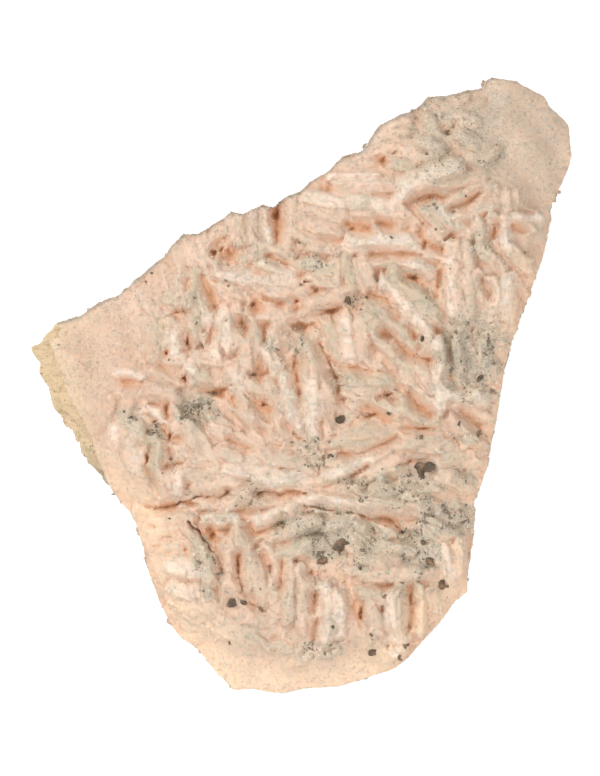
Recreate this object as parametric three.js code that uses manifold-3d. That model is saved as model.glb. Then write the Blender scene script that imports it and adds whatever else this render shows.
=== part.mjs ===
// A hand-sized specimen of pink saddle dolomite: a jumbled crust of blades on cream host rock,
// with a few dark sphalerite crystals. It lies on its flat back, with the crystals up.
// Millimetres, +Z up, origin under the middle of its footprint.
import * as THREE from 'three';
import { mergeVertices } from 'three/addons/utils/BufferGeometryUtils.js';
import Module from 'manifold-3d';

const wasm = await Module();
wasm.setup();

// Driving dimensions
const specimenWidth = 110;
const specimenHeight = 124;
const seatHeight = 13;            // top of the host rock
const joint = 0.3;                // gap between pieces that touch
const rimHeight = 20.5;           // crust at its broken edge
const fieldHeight = 24.3;         // crust between the blades, away from the edge
const rimWidth = 10;              // how far the crust takes to rise from rimHeight to fieldHeight
const surfaceCell = 10;           // facet size of the crust between the blades
const bladeRoot = 1.6;            // how deep a blade is rooted in the crust
const bladeExtra = 0.4;           // crests stand this much higher than the list says
const flank = 1.3;                // a blade's foot is this much wider than the blade, on each side
const topShare = 0.8;             // a blade's flat crest, as a share of its width
const lowEnd = 0.62;              // height of a blade's lower end, as a share of its higher end
const crestLean = 0.35;           // how far a crest may lie to one side of the blade's middle
const rippleHeight = 0.45;        // unevenness of the crust between the blades
const middle = [5, 0];            // the point that every edge of the specimen can be seen from

// The broken outline of the specimen, clockwise from its left tip.
const outline = [
  [-54.9, 7.8], [-53.0, 8.6], [-51.6, 10.4], [-50.0, 12.3], [-44.0, 13.9], [-42.0, 15.4], [-40.0, 16.7],
  [-36.4, 18.4], [-33.6, 20.6], [-29.0, 24.4], [-27.0, 26.0], [-25.6, 28.0], [-23.4, 30.3], [-20.4, 30.5],
  [-16.0, 33.1], [-13.6, 34.8], [-11.2, 34.5], [-8.8, 35.6], [-7.2, 36.4], [-5.4, 35.9], [-3.0, 37.6],
  [0.0, 38.7], [2.2, 41.0], [6.0, 43.2], [8.8, 45.9], [12.6, 46.8], [14.2, 49.4], [16.0, 52.0],
  [20.0, 54.0], [24.0, 55.9], [26.2, 57.9], [30.0, 58.4], [37.2, 59.9], [37.8, 61.6], [39.2, 62.0],
  [44.2, 61.1], [47.0, 59.6], [49.2, 58.3], [50.4, 56.0], [52.8, 54.0], [54.3, 52.4], [54.9, 46.4],
  [54.2, 43.6], [52.6, 40.2], [51.0, 37.2], [50.3, 35.3], [50.6, 33.4], [49.1, 25.6], [47.6, 22.0],
  [44.4, 13.4], [41.6, 3.8], [39.8, -6.6], [38.0, -15.8], [36.4, -20.0], [35.1, -23.4], [35.3, -26.2],
  [34.8, -32.0], [33.8, -38.6], [33.9, -41.4], [31.0, -44.0], [28.6, -47.0], [26.2, -49.6], [22.0, -54.8],
  [18.6, -57.1], [14.0, -58.7], [9.0, -60.2], [2.0, -61.0], [-3.2, -62.0], [-8.6, -61.4], [-13.4, -61.3],
  [-17.6, -56.6], [-20.2, -53.2], [-23.4, -50.8], [-25.4, -48.2], [-28.0, -43.8], [-30.6, -36.0],
  [-31.3, -32.4], [-32.8, -28.0], [-34.4, -25.3], [-36.4, -23.9], [-37.6, -21.4], [-40.0, -18.6],
  [-43.2, -15.2], [-45.4, -11.4], [-48.0, -7.8], [-50.2, -4.2], [-51.8, 0.2], [-53.6, 5.0],
];
const bareBand = 4.6;             // how far the crust stands back from the outline at the left edge
const bareBandX = [-36, -49];     // the band widens from nothing to full between these two
const bareBandY = [9, 14];        // and dies away between these two

// Rings of the two slabs, from the bottom up: share of the outline, height, unevenness in plan,
// unevenness in height, and a number that sets the pattern of both.
const seatShare = 0.985;
const seatWave = 0.9;             // the line where the crust meets the host rock is uneven from the side
const matrixRings = [
  [0.9, 0, 0.022, 0, 1],
  [0.955, 3.9, 0.016, 0.9, 2],
  [1, 9.4, 0, 0.6, 3],
];
const crustRings = [
  [1, 17.3, 0, 0.8, 6],
  [0.994, 22, 0.003, 0, 7],
  [0.95, 34.5, 0, 0, 8],
];

// Swells and hollows of the crust's surface: centre, radius and height.
const swells = [
  [20, 18, 15, 2.0], [28, 42, 9, 1.6], [-4, -4, 13, 1.2], [-14, 22, 12, 0.9], [12, -23, 10, 0.9],
  [-25, -35, 6, 1.0], [5, -45, 9, 0.8], [8, 36, 9, 0.8], [4, -34, 8, -1.2], [17, -31, 6, -0.9],
  [34, 8, 6, -1.9], [-20, -4, 4, -1.8], [-42, 4, 12, -0.8], [45, 50, 11, -0.9], [-8, -55, 9, -0.8],
  [30, -26, 6, -0.9],
];

// The blades: higher end, lower end, width, and how far the crest stands over the crust.
const blades = {
  northWest: [
    [-24.2, 27.6, -23.2, 22.8, 2.4, 2.0], [-21.6, 28.2, -20.8, 23.4, 2.0, 2.2],
    [-19.3, 29.6, -18.9, 24.0, 2.0, 2.4], [-15.2, 31.0, -17.9, 26.6, 1.9, 3.0],
    [-13.4, 34.0, -13.2, 29.0, 1.8, 2.6], [-11.9, 34.0, -11.3, 25.0, 1.4, 3.2],
    [-10.4, 34.4, -10.4, 24.8, 1.4, 3.0], [-9.0, 34.2, -9.2, 25.2, 1.3, 3.2],
    [-7.5, 35.4, -7.3, 29.2, 1.8, 3.0], [-2.4, 37.0, -2.5, 27.4, 2.3, 3.8],
    [0.0, 38.0, -0.2, 30.4, 1.8, 3.0], [-7.2, 28.6, -8.0, 23.8, 1.5, 2.8],
    [-6.6, 27.2, -1.4, 25.6, 1.6, 3.0], [-7.2, 24.2, -1.8, 22.4, 1.9, 3.0],
    [-17.2, 25.8, -14.2, 23.0, 1.8, 2.6], [-15.8, 22.8, -9.4, 21.2, 2.8, 3.2],
  ],
  west: [
    [-20.8, 22.4, -17.6, 15.2, 2.0, 3.0], [-21.6, 18.0, -20.6, 8.6, 2.4, 3.2],
    [-18.9, 17.6, -18.0, 12.2, 2.0, 3.0], [-15.2, 19.6, -12.0, 16.0, 3.0, 2.4],
    [-15.1, 14.8, -14.4, 7.2, 2.4, 3.8], [-12.5, 15.8, -12.9, 7.8, 2.0, 3.2],
    [-26.6, 12.9, -22.4, 12.0, 1.9, 2.4], [-24.7, 10.2, -24.9, 6.6, 2.8, 3.2],
    [-29.2, 5.6, -21.4, 5.2, 2.2, 2.6], [-20.6, 5.6, -13.6, 4.6, 2.2, 3.2],
    [-29.2, 2.4, -23.6, 1.4, 1.8, 2.4], [-21.6, 3.6, -21.0, 1.0, 2.6, 3.2],
    [-19.6, 2.6, -17.8, 0.4, 2.2, 2.8], [-12.9, 3.6, -11.9, -0.4, 2.8, 3.6],
    [-18.0, 9.8, -16.4, 5.6, 1.8, 2.6], [-10.6, 10.4, -10.4, 3.6, 2.0, 2.6],
    [-30.0, -0.6, -24.2, -2.2, 2.6, 2.6], [-29.8, -4.4, -27.0, -6.6, 1.6, 2.4],
    [-25.8, -5.0, -23.8, -9.4, 2.4, 3.2], [-32.8, -7.0, -30.8, -10.8, 2.0, 2.4],
    [-33.8, -9.0, -33.0, -15.6, 2.8, 2.4], [-28.7, -10.4, -28.8, -19.2, 2.3, 3.2],
    [-26.2, -11.4, -26.2, -15.4, 1.7, 2.8], [-26.9, -17.0, -26.0, -22.4, 2.4, 3.0],
    [-24.0, -16.2, -24.4, -22.2, 2.0, 2.6], [-24.4, -10.8, -22.6, -15.4, 2.2, 3.4],
  ],
  centreWest: [
    [-9.8, 15.0, -1.8, 13.2, 2.8, 3.0], [-7.8, 21.0, 0.0, 20.8, 1.8, 2.8],
    [-6.2, 18.6, 1.8, 18.2, 1.8, 2.8], [-1.2, 14.9, 8.2, 17.8, 2.0, 3.8],
    [-4.4, 11.4, -5.4, 5.2, 2.6, 3.0], [-9.4, 12.6, -8.4, 5.0, 2.2, 2.6], [-6.6, 7.0, -3.4, 1.6, 2.2, 3.6],
    [-9.8, 0.4, -6.6, -1.6, 1.9, 3.0], [-5.8, 0.8, -2.4, -9.4, 2.4, 3.6],
    [-2.8, 1.6, -0.4, -8.6, 2.2, 3.4], [-12.9, -1.8, -9.6, -6.4, 2.8, 3.0],
    [-10.8, -5.4, -5.4, -10.8, 2.0, 3.2], [-22.4, -8.4, -18.4, -13.2, 3.4, 3.6],
    [-17.6, -5.6, -13.6, -9.4, 2.2, 2.6], [-17.2, -8.8, -10.2, -12.2, 2.4, 3.0],
    [-22.0, -14.6, -16.0, -15.4, 2.6, 2.6], [-22.8, -17.4, -17.4, -18.4, 2.6, 2.4],
    [-20.6, -20.0, -12.8, -19.4, 2.4, 2.4], [-15.8, -13.4, -8.4, -14.6, 2.4, 2.4],
    [-14.2, -16.6, -4.8, -16.8, 2.6, 2.2], [-8.8, -18.8, 0.6, -18.6, 2.4, 2.2],
    [-7.4, -13.6, 2.2, -16.0, 2.4, 2.4],
  ],
  centre: [
    [2.2, 10.6, 4.4, 1.2, 3.0, 3.8], [2.1, 0.4, 3.0, -9.8, 2.4, 3.6], [5.2, 0.8, 6.0, -9.0, 2.3, 3.4],
    [5.4, 13.2, 8.0, 4.4, 1.8, 3.2], [8.8, 14.2, 10.4, 4.4, 2.2, 3.2], [11.6, 13.2, 12.8, 5.6, 2.2, 3.2],
    [8.8, 1.8, 18.8, 0.8, 2.4, 2.8], [13.2, 14.0, 20.2, 5.0, 2.8, 3.2], [14.4, 16.8, 23.0, 8.2, 2.6, 3.8],
    [16.6, 20.4, 25.4, 11.0, 2.4, 3.6], [18.4, 22.8, 27.4, 13.8, 2.4, 4.0],
    [22.0, 24.4, 26.8, 22.0, 2.0, 3.6], [12.8, 25.0, 22.4, 24.6, 2.0, 3.2],
    [9.4, 25.8, 10.8, 19.6, 2.0, 3.2], [13.4, 24.2, 13.9, 19.0, 1.9, 3.2],
    [0.6, 24.4, 6.4, 23.4, 2.4, 3.0], [2.0, 21.2, 8.4, 19.8, 1.9, 2.8], [2.6, 27.6, 8.4, 27.0, 2.0, 2.8],
    [10.2, 28.8, 24.2, 28.4, 3.2, 3.8],
  ],
  north: [
    [1.4, 37.6, 8.6, 36.4, 2.4, 3.2], [1.2, 34.6, 9.0, 33.4, 2.0, 2.6], [1.4, 32.0, 8.2, 30.8, 2.4, 2.8],
    [9.8, 36.8, 19.4, 35.4, 2.4, 3.0], [7.6, 39.4, 18.6, 39.6, 2.2, 2.8],
    [21.6, 39.6, 18.6, 35.2, 1.6, 3.4], [11.8, 33.2, 21.8, 33.6, 2.2, 3.0],
    [24.4, 36.0, 28.8, 31.2, 2.4, 3.6], [27.4, 36.4, 31.8, 31.0, 2.2, 3.4],
    [23.8, 29.4, 29.2, 30.0, 1.8, 2.6], [24.0, 27.2, 28.8, 25.8, 1.7, 3.0],
    [31.6, 43.6, 20.4, 40.2, 2.8, 4.0], [22.4, 38.7, 36.6, 41.6, 2.2, 3.4],
    [30.2, 36.2, 38.0, 39.6, 2.0, 3.0], [31.8, 34.0, 39.4, 36.8, 2.2, 3.0],
    [7.0, 43.2, 15.2, 43.6, 2.2, 2.4], [11.6, 45.8, 19.0, 47.4, 2.2, 2.4],
    [17.2, 52.2, 22.2, 52.6, 2.2, 2.2], [18.4, 44.6, 22.6, 43.0, 1.8, 2.4],
    [24.0, 48.8, 28.4, 46.4, 2.2, 2.6], [25.4, 53.0, 27.8, 49.6, 2.0, 2.4],
    [30.6, 53.4, 35.4, 52.4, 2.4, 2.4], [20.4, 34.8, 24.0, 31.4, 1.8, 2.8],
  ],
  northEast: [
    [29.4, 27.8, 30.4, 13.8, 1.7, 3.8], [31.3, 28.2, 32.2, 12.6, 1.6, 3.6],
    [33.2, 28.4, 33.8, 13.6, 1.6, 3.4], [38.2, 33.4, 40.6, 28.4, 1.9, 3.0],
    [41.0, 33.0, 41.4, 28.2, 2.0, 2.6], [35.2, 33.2, 36.4, 28.2, 1.8, 2.4],
    [35.8, 27.4, 40.0, 22.6, 2.4, 2.8], [41.4, 27.4, 46.0, 23.4, 2.4, 1.8],
    [35.4, 22.4, 35.8, 12.0, 2.0, 2.8], [38.2, 20.6, 37.6, 12.2, 2.6, 2.8],
    [41.4, 21.6, 40.2, 13.2, 2.8, 2.0],
  ],
  east: [
    [20.6, 5.8, 23.4, -1.4, 2.2, 3.2], [23.8, 4.4, 26.2, -1.2, 2.0, 3.0],
    [27.4, 9.0, 28.2, -4.6, 2.1, 4.2], [25.2, 11.6, 25.8, 5.0, 2.0, 3.0],
    [18.8, -2.8, 27.2, -7.6, 2.8, 4.0], [22.2, -0.8, 27.4, -4.8, 1.8, 3.2],
    [29.8, -1.8, 37.0, -2.4, 2.6, 3.6], [32.2, -3.8, 38.4, -7.0, 2.0, 2.8],
    [30.4, -6.8, 35.2, -11.6, 2.2, 2.4], [11.0, -3.2, 18.8, -4.9, 2.6, 3.8],
    [9.6, -8.6, 18.4, -9.2, 2.6, 2.8], [17.6, -11.2, 29.6, -12.6, 2.4, 2.8],
    [6.8, -11.6, 16.6, -10.9, 1.8, 2.6], [17.2, -12.6, 6.0, -15.2, 2.0, 3.0],
    [14.0, -15.0, 5.4, -18.4, 2.3, 3.2], [19.6, -14.4, 12.8, -17.0, 1.9, 2.8],
    [29.4, -14.6, 35.8, -14.4, 2.2, 2.0], [28.4, -17.8, 34.6, -20.6, 2.4, 2.0],
  ],
  south: [
    [0.6, -22.4, 12.4, -24.0, 2.2, 2.8], [11.2, -20.6, 19.8, -21.0, 2.8, 2.8],
    [12.6, -23.4, 20.2, -23.8, 2.4, 2.6], [21.4, -22.2, 28.6, -25.2, 3.2, 2.6],
    [-0.4, -24.4, -8.8, -27.2, 2.3, 3.4], [3.6, -26.8, -6.4, -30.4, 2.8, 3.4],
    [4.6, -31.6, -4.6, -33.6, 2.4, 2.8], [12.4, -28.4, 19.8, -29.4, 2.6, 2.8],
    [10.6, -33.8, 19.6, -35.6, 2.2, 2.8], [24.8, -37.2, 12.0, -38.2, 2.2, 2.8],
    [15.4, -31.6, 22.4, -33.4, 2.0, 2.8], [28.8, -32.6, 30.2, -38.0, 1.9, 2.2],
    [-18.6, -26.8, -12.4, -26.4, 2.0, 3.0], [-29.0, -26.6, -21.6, -25.8, 2.2, 2.0],
    [-29.4, -29.8, -23.8, -29.0, 2.8, 2.2], [-22.4, -28.2, -19.0, -32.4, 1.8, 3.0],
    [-14.3, -31.4, -13.6, -42.0, 2.5, 3.6], [-11.6, -28.0, -10.0, -39.8, 2.4, 3.8],
    [-8.8, -33.8, -7.2, -42.6, 2.3, 3.0], [-4.9, -37.4, -4.8, -46.2, 1.8, 2.8],
    [-2.3, -35.6, -2.1, -46.8, 2.0, 3.2], [0.1, -36.2, 0.5, -48.4, 1.8, 3.0],
    [2.0, -38.6, 1.9, -50.8, 1.5, 3.2], [5.0, -40.0, 5.3, -50.6, 2.4, 3.2],
    [8.0, -41.4, 8.1, -49.4, 2.2, 3.0], [-25.6, -35.8, -20.4, -37.0, 3.2, 3.2],
    [-24.8, -39.8, -21.2, -41.6, 3.0, 2.6], [-23.4, -43.6, -17.6, -46.4, 2.8, 2.2],
    [-18.4, -36.2, -17.2, -42.4, 2.0, 2.8], [12.2, -40.8, 16.4, -42.6, 2.2, 2.8],
    [14.4, -44.0, 15.4, -50.2, 2.6, 3.2], [18.1, -41.6, 18.5, -50.8, 2.0, 3.6],
    [20.4, -40.2, 20.6, -51.4, 1.7, 3.6], [23.7, -40.2, 23.4, -48.8, 2.0, 3.0],
    [-9.2, -20.9, -15.6, -24.6, 2.0, 2.2],
  ],
};

// Deep pits between the blades: centre, half sizes and depth. Mouth and floor are shares of the half sizes.
const pitMouth = 1.25;
const pitFloor = 0.35;
const pitReach = 5;               // the plug that cuts a pit ends this high over the crust
const pits = [
  [-4.4, 33.4, 0.9, 2.0, 3.0], [-14.4, 26.2, 1.8, 1.2, 2.6], [-9.1, 16.2, 0.9, 0.7, 2.6],
  [0.7, 11.7, 1.6, 0.9, 3.4], [-16.0, -1.4, 2.6, 0.9, 4.0], [-26.5, -4.6, 0.7, 1.4, 2.4],
  [-28.8, -7.2, 0.9, 0.8, 2.4], [-30.3, -14.4, 0.6, 1.6, 2.8], [-7.1, -3.8, 1.0, 0.9, 3.0],
  [10.6, 31.3, 1.0, 0.7, 2.6], [16.8, 44.8, 0.9, 0.8, 2.8], [29.8, 50.5, 0.8, 0.7, 3.0],
  [22.8, 21.4, 1.2, 0.8, 3.2], [27.7, 20.2, 0.6, 2.2, 2.6], [14.2, -5.9, 2.4, 0.8, 2.4],
  [22.2, -15.0, 1.2, 0.7, 2.8], [-17.3, -29.8, 1.0, 1.4, 3.2], [12.2, -45.6, 0.8, 1.8, 3.0],
  [22.2, -42.6, 0.6, 2.2, 2.4],
];

// Open cracks: the long one runs across the whole crust and makes a low ledge.
const crackWidth = 1.1;
const crackDepth = 3.4;
const crackReach = 2.4;           // the wedge that cuts a crack ends this high over the crust
const cracks = [
  [
    [-30.5, -24.6], [-27.0, -24.5], [-24.6, -23.8], [-22.2, -22.6], [-19.0, -22.0], [-16.0, -22.3],
    [-14.0, -21.2],
  ],
  [
    [0.6, -24.9], [3.6, -24.7], [6.6, -25.2], [9.8, -25.3], [12.8, -26.0], [17.0, -26.3],
    [19.4, -27.4], [20.8, -29.2],
  ],
];
const ledgeDrop = 1.3;            // the crust south of the long crack lies this much lower
const ledgeLine = [-24.0, -0.08]; // y where the ledge crosses x = 0, and its slope
const ledgeFade = 14;             // distance over which the drop dies away southwards
const ledgeLip = 1.5;             // width of the step itself
const ledgeEast = 24;             // the ledge ends at this x

// Sphalerite crystals: x, y, length, width and turn in degrees.
const sphalerites = [
  [25.0, -16.5, 3.8, 3.2, 20], [8.6, -32.2, 3.2, 3.0, 50], [5.0, -34.6, 2.6, 2.2, 10],
  [-13.2, -43.8, 3.2, 2.3, -15], [15.0, -53.2, 2.6, 2.0, 30], [28.4, -39.8, 2.2, 1.8, 0],
  [8.2, -6.6, 1.8, 2.6, 0], [26.0, -35.0, 1.9, 1.7, 45],
];
const sphaleriteStand = 0.55;     // how far a sphalerite stands over the crust, as a share of its width
const sphaleriteTilt = 0.5;       // radians

// Small helpers
function smoothStep(low, high, value) {
  const t = Math.min(1, Math.max(0, (value - low) / (high - low)));
  return t * t * (3 - 2 * t);
}

function ripple(x, y) {
  return Math.sin(x * 0.61 + 1.3 * Math.sin(y * 0.23)) * Math.cos(y * 0.53 - 0.9 * Math.sin(x * 0.31));
}

function distanceToEdge(x, y) {
  let nearest = Infinity;
  outline.forEach(([ax, ay], index) => {
    const [bx, by] = outline[(index + 1) % outline.length];
    const along = ((x - ax) * (bx - ax) + (y - ay) * (by - ay)) / ((bx - ax) ** 2 + (by - ay) ** 2);
    const t = Math.min(1, Math.max(0, along));
    nearest = Math.min(nearest, Math.hypot(x - ax - t * (bx - ax), y - ay - t * (by - ay)));
  });
  return nearest;
}

// Height of the crust between the blades.
function crustHeight(x, y) {
  let height = rimHeight + (fieldHeight - rimHeight) * smoothStep(0, rimWidth, distanceToEdge(x, y));
  for (const [sx, sy, radius, rise] of swells) {
    height += rise * Math.exp(-((x - sx) ** 2 + (y - sy) ** 2) / radius ** 2);
  }
  const southOfLedge = ledgeLine[0] + ledgeLine[1] * x - y;
  if (southOfLedge > 0 && x < ledgeEast) {
    const fade = smoothStep(ledgeLip, ledgeFade, southOfLedge);
    height -= ledgeDrop * smoothStep(0, ledgeLip, southOfLedge) * (1 - fade);
  }
  return height + rippleHeight * ripple(x, y);
}

function solidFromGeometry(geometry) {
  const bare = geometry.clone();
  for (const name of ['normal', 'uv']) {
    bare.deleteAttribute(name);
  }
  const merged = mergeVertices(bare, 1e-4);
  return new wasm.Manifold(new wasm.Mesh({
    numProp: 3,
    vertProperties: Float32Array.from(merged.attributes.position.array),
    triVerts: Uint32Array.from(merged.index.array),
  }));
}

function geometryFromLists(points, triangles) {
  const geometry = new THREE.BufferGeometry();
  geometry.setAttribute('position', new THREE.Float32BufferAttribute(points.flat(), 3));
  geometry.setIndex(triangles.flat());
  return geometry;
}

// A stack of rings with the same number of corners, anticlockwise from above, closed at both ends.
function loft(rings, bottomCentre, topCentre) {
  const count = rings[0].length;
  const points = [...rings.flat(), bottomCentre, topCentre];
  const bottom = rings.length * count;
  const top = bottom + 1;
  const triangles = [];
  for (let i = 0; i < count; i += 1) {
    const next = (i + 1) % count;
    triangles.push([bottom, next, i]);
    for (let ring = 0; ring + 1 < rings.length; ring += 1) {
      const a = ring * count + i;
      const b = ring * count + next;
      triangles.push([a, b, b + count], [a, b + count, a + count]);
    }
    const last = (rings.length - 1) * count;
    triangles.push([top, last + i, last + next]);
  }
  return geometryFromLists(points, triangles);
}

// The outline drawn in towards the middle, with a broken edge that is uneven in plan and in height.
function edgeRing(points, [share, height, unevenness, wave, seed]) {
  return points.map(([x, y], index) => {
    const wobble = Math.sin(index * 0.83 + seed) * Math.cos(index * 0.37 + 2 * seed);
    const scale = share + unevenness * wobble;
    const lift = wave * Math.sin(index * 0.29 + 1.7 * seed);
    return [middle[0] + (x - middle[0]) * scale, middle[1] + (y - middle[1]) * scale, height + lift];
  });
}

// The crust's own edge: the outline, but set back where the host rock shows at the left.
function crustEdge() {
  return outline.map(([x, y]) => {
    const setBack = bareBand * smoothStep(...bareBandX, x) * (1 - smoothStep(...bareBandY, y));
    return [x + setBack, y + setBack * 0.25];
  });
}

function seatRing(height) {
  return edgeRing([...crustEdge()].reverse(), [seatShare, height, 0.01, seatWave, 4]);
}

function makeMatrix() {
  const around = [...outline].reverse();
  const rings = matrixRings.map((ring) => edgeRing(around, ring));
  return loft([...rings, seatRing(seatHeight)], [...middle, 0], [...middle, seatHeight]);
}

function makeCrustEnvelope() {
  const around = [...crustEdge()].reverse();
  const underside = seatHeight + joint;
  const rings = crustRings.map((ring) => edgeRing(around, ring));
  const top = crustRings[crustRings.length - 1][1];
  return loft([seatRing(underside), ...rings], [...middle, underside], [...middle, top]);
}

// The crust before its blades: a block larger than the specimen, with the crust's height on top.
function makeCrustField() {
  const margin = 12;
  const below = 4;
  const width = specimenWidth + margin;
  const height = specimenHeight + margin;
  const columns = Math.round(width / surfaceCell);
  const rows = Math.round(height / surfaceCell);
  const block = new THREE.BoxGeometry(width, height, 1, columns, rows, 1);
  const position = block.attributes.position;
  for (let i = 0; i < position.count; i += 1) {
    const isTop = position.getZ(i) > 0;
    position.setZ(i, isTop ? crustHeight(position.getX(i), position.getY(i)) : seatHeight - below);
  }
  return block;
}

// One blade: a six-sided foot, and a flat crest that leans to one side and falls to its lower end.
function makeBlade(highX, highY, lowX, lowY, width, stand) {
  const length = Math.hypot(lowX - highX, lowY - highY);
  const along = [(lowX - highX) / length, (lowY - highY) / length];
  const across = [-along[1], along[0]];
  const at = (u, v, z) => [highX + along[0] * u + across[0] * v, highY + along[1] * u + across[1] * v, z];
  const highZ = crustHeight(highX, highY);
  const lowZ = crustHeight(lowX, lowY);
  const rise = stand + bladeExtra;
  const half = width / 2 + flank;
  const crest = width * topShare / 2;
  const lean = crestLean * Math.sin(highX * 1.7 + highY * 2.3);
  const shoulder = Math.min(length * 0.22, width * 0.6);
  const crestStart = shoulder * 0.4;
  const foot = [
    at(-flank, 0, highZ - bladeRoot), at(shoulder, -half, highZ - bladeRoot),
    at(length - shoulder, -half, lowZ - bladeRoot), at(length + flank, 0, lowZ - bladeRoot),
    at(length - shoulder, half, lowZ - bladeRoot), at(shoulder, half, highZ - bladeRoot),
  ];
  const top = [
    at(crestStart, lean - crest, highZ + rise),
    at(length - shoulder, lean - crest, lowZ + rise * lowEnd),
    at(length - shoulder, lean + crest, lowZ + rise * lowEnd),
    at(crestStart, lean + crest, highZ + rise),
  ];
  const triangles = [
    [0, 5, 1], [1, 5, 4], [1, 4, 2], [2, 4, 3],
    [0, 1, 6], [1, 2, 7], [1, 7, 6], [2, 3, 7], [3, 8, 7], [3, 4, 8],
    [4, 5, 9], [4, 9, 8], [5, 0, 9], [0, 6, 9], [6, 7, 8], [6, 8, 9],
  ];
  return geometryFromLists([...foot, ...top], triangles);
}

function makePit(x, y, halfX, halfY, depth) {
  const pit = new THREE.CylinderGeometry(pitMouth, pitFloor, depth + pitReach, 6);
  pit.rotateX(Math.PI / 2);
  pit.scale(halfX, halfY, 1);
  pit.translate(x, y, crustHeight(x, y) + (pitReach - depth) / 2);
  return pit;
}

// A crack is a three-sided wedge that follows its line, pointing down.
function makeCrack(line) {
  const sections = line.map(([x, y], index) => {
    const [px, py] = line[Math.max(0, index - 1)];
    const [nx, ny] = line[Math.min(line.length - 1, index + 1)];
    const length = Math.hypot(nx - px, ny - py);
    const side = [-(ny - py) / length, (nx - px) / length];
    const surface = crustHeight(x, y);
    const open = crackWidth * (index === 0 || index === line.length - 1 ? 0.5 : 1);
    return [
      [x + side[0] * open, y + side[1] * open, surface + crackReach],
      [x, y, surface - crackDepth],
      [x - side[0] * open, y - side[1] * open, surface + crackReach],
    ];
  });
  const triangles = [[0, 1, 2]];
  for (let i = 0; i + 1 < sections.length; i += 1) {
    for (let corner = 0; corner < 3; corner += 1) {
      const a = i * 3 + corner;
      const b = i * 3 + ((corner + 1) % 3);
      triangles.push([a, b + 3, b], [a, a + 3, b + 3]);
    }
  }
  const last = (sections.length - 1) * 3;
  triangles.push([last, last + 2, last + 1]);
  return geometryFromLists(sections.flat(), triangles);
}

// A sphalerite crystal, or its pocket where grow is over zero.
function makeSphalerite([x, y, length, width, turn], grow) {
  const crystal = new THREE.DodecahedronGeometry(0.5);
  crystal.scale(length + 2 * grow, width + 2 * grow, width + 2 * grow);
  crystal.rotateX(sphaleriteTilt);
  crystal.rotateZ(THREE.MathUtils.degToRad(turn));
  crystal.translate(x, y, crustHeight(x, y) + width * (sphaleriteStand - 0.5));
  return crystal;
}

function makeCrust() {
  let crust = solidFromGeometry(makeCrustField());
  for (const zone of Object.values(blades)) {
    for (const blade of zone) {
      crust = crust.add(solidFromGeometry(makeBlade(...blade)));
    }
  }
  crust = crust.intersect(solidFromGeometry(makeCrustEnvelope()));
  for (const pit of pits) {
    crust = crust.subtract(solidFromGeometry(makePit(...pit)));
  }
  for (const line of cracks) {
    crust = crust.subtract(solidFromGeometry(makeCrack(line)));
  }
  for (const crystal of sphalerites) {
    crust = crust.subtract(solidFromGeometry(makeSphalerite(crystal, joint)));
  }
  return crust;
}

function geometryFromSolid(solid) {
  const mesh = solid.getMesh();
  const geometry = new THREE.BufferGeometry();
  geometry.setAttribute('position', new THREE.BufferAttribute(Float32Array.from(mesh.vertProperties), 3));
  geometry.setIndex(new THREE.BufferAttribute(Uint32Array.from(mesh.triVerts), 1));
  geometry.computeVertexNormals();
  return geometry;
}

// Materials
const pinkDolomite = new THREE.MeshStandardMaterial({ color: 0xe9c4b0, roughness: 0.6, metalness: 0 });
const creamRock = new THREE.MeshStandardMaterial({ color: 0xe6d3ac, roughness: 0.85, metalness: 0 });
const darkSphalerite = new THREE.MeshStandardMaterial({ color: 0x4a403a, roughness: 0.3, metalness: 0.1 });

function addPiece(group, name, geometry, material) {
  const mesh = new THREE.Mesh(geometry, material);
  mesh.name = name;
  group.add(mesh);
}

const specimen = new THREE.Group();
addPiece(specimen, 'matrix', makeMatrix(), creamRock);
addPiece(specimen, 'dolomite_crust', geometryFromSolid(makeCrust()), pinkDolomite);
sphalerites.forEach((crystal, index) => {
  addPiece(specimen, `sphalerite_${index + 1}`, makeSphalerite(crystal, 0), darkSphalerite);
});

export default specimen;
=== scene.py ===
import itertools
import math
import random

import bmesh
import bpy
import numpy as np
from mathutils import Matrix, Vector


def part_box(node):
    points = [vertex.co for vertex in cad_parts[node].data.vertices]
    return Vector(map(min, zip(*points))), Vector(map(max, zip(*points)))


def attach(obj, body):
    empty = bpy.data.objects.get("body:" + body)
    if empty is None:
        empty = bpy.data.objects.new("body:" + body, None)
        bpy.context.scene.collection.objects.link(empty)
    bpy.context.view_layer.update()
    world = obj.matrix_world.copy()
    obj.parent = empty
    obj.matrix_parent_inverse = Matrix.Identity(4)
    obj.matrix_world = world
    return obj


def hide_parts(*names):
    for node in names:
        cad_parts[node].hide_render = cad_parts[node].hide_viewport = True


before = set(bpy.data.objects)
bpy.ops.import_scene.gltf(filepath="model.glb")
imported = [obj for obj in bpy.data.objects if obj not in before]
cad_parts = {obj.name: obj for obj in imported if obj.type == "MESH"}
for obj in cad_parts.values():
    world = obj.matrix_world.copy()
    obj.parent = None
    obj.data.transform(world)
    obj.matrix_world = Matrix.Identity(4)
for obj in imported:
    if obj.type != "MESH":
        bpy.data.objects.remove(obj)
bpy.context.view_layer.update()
mm = 0.001
print("frame loaded")

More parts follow.
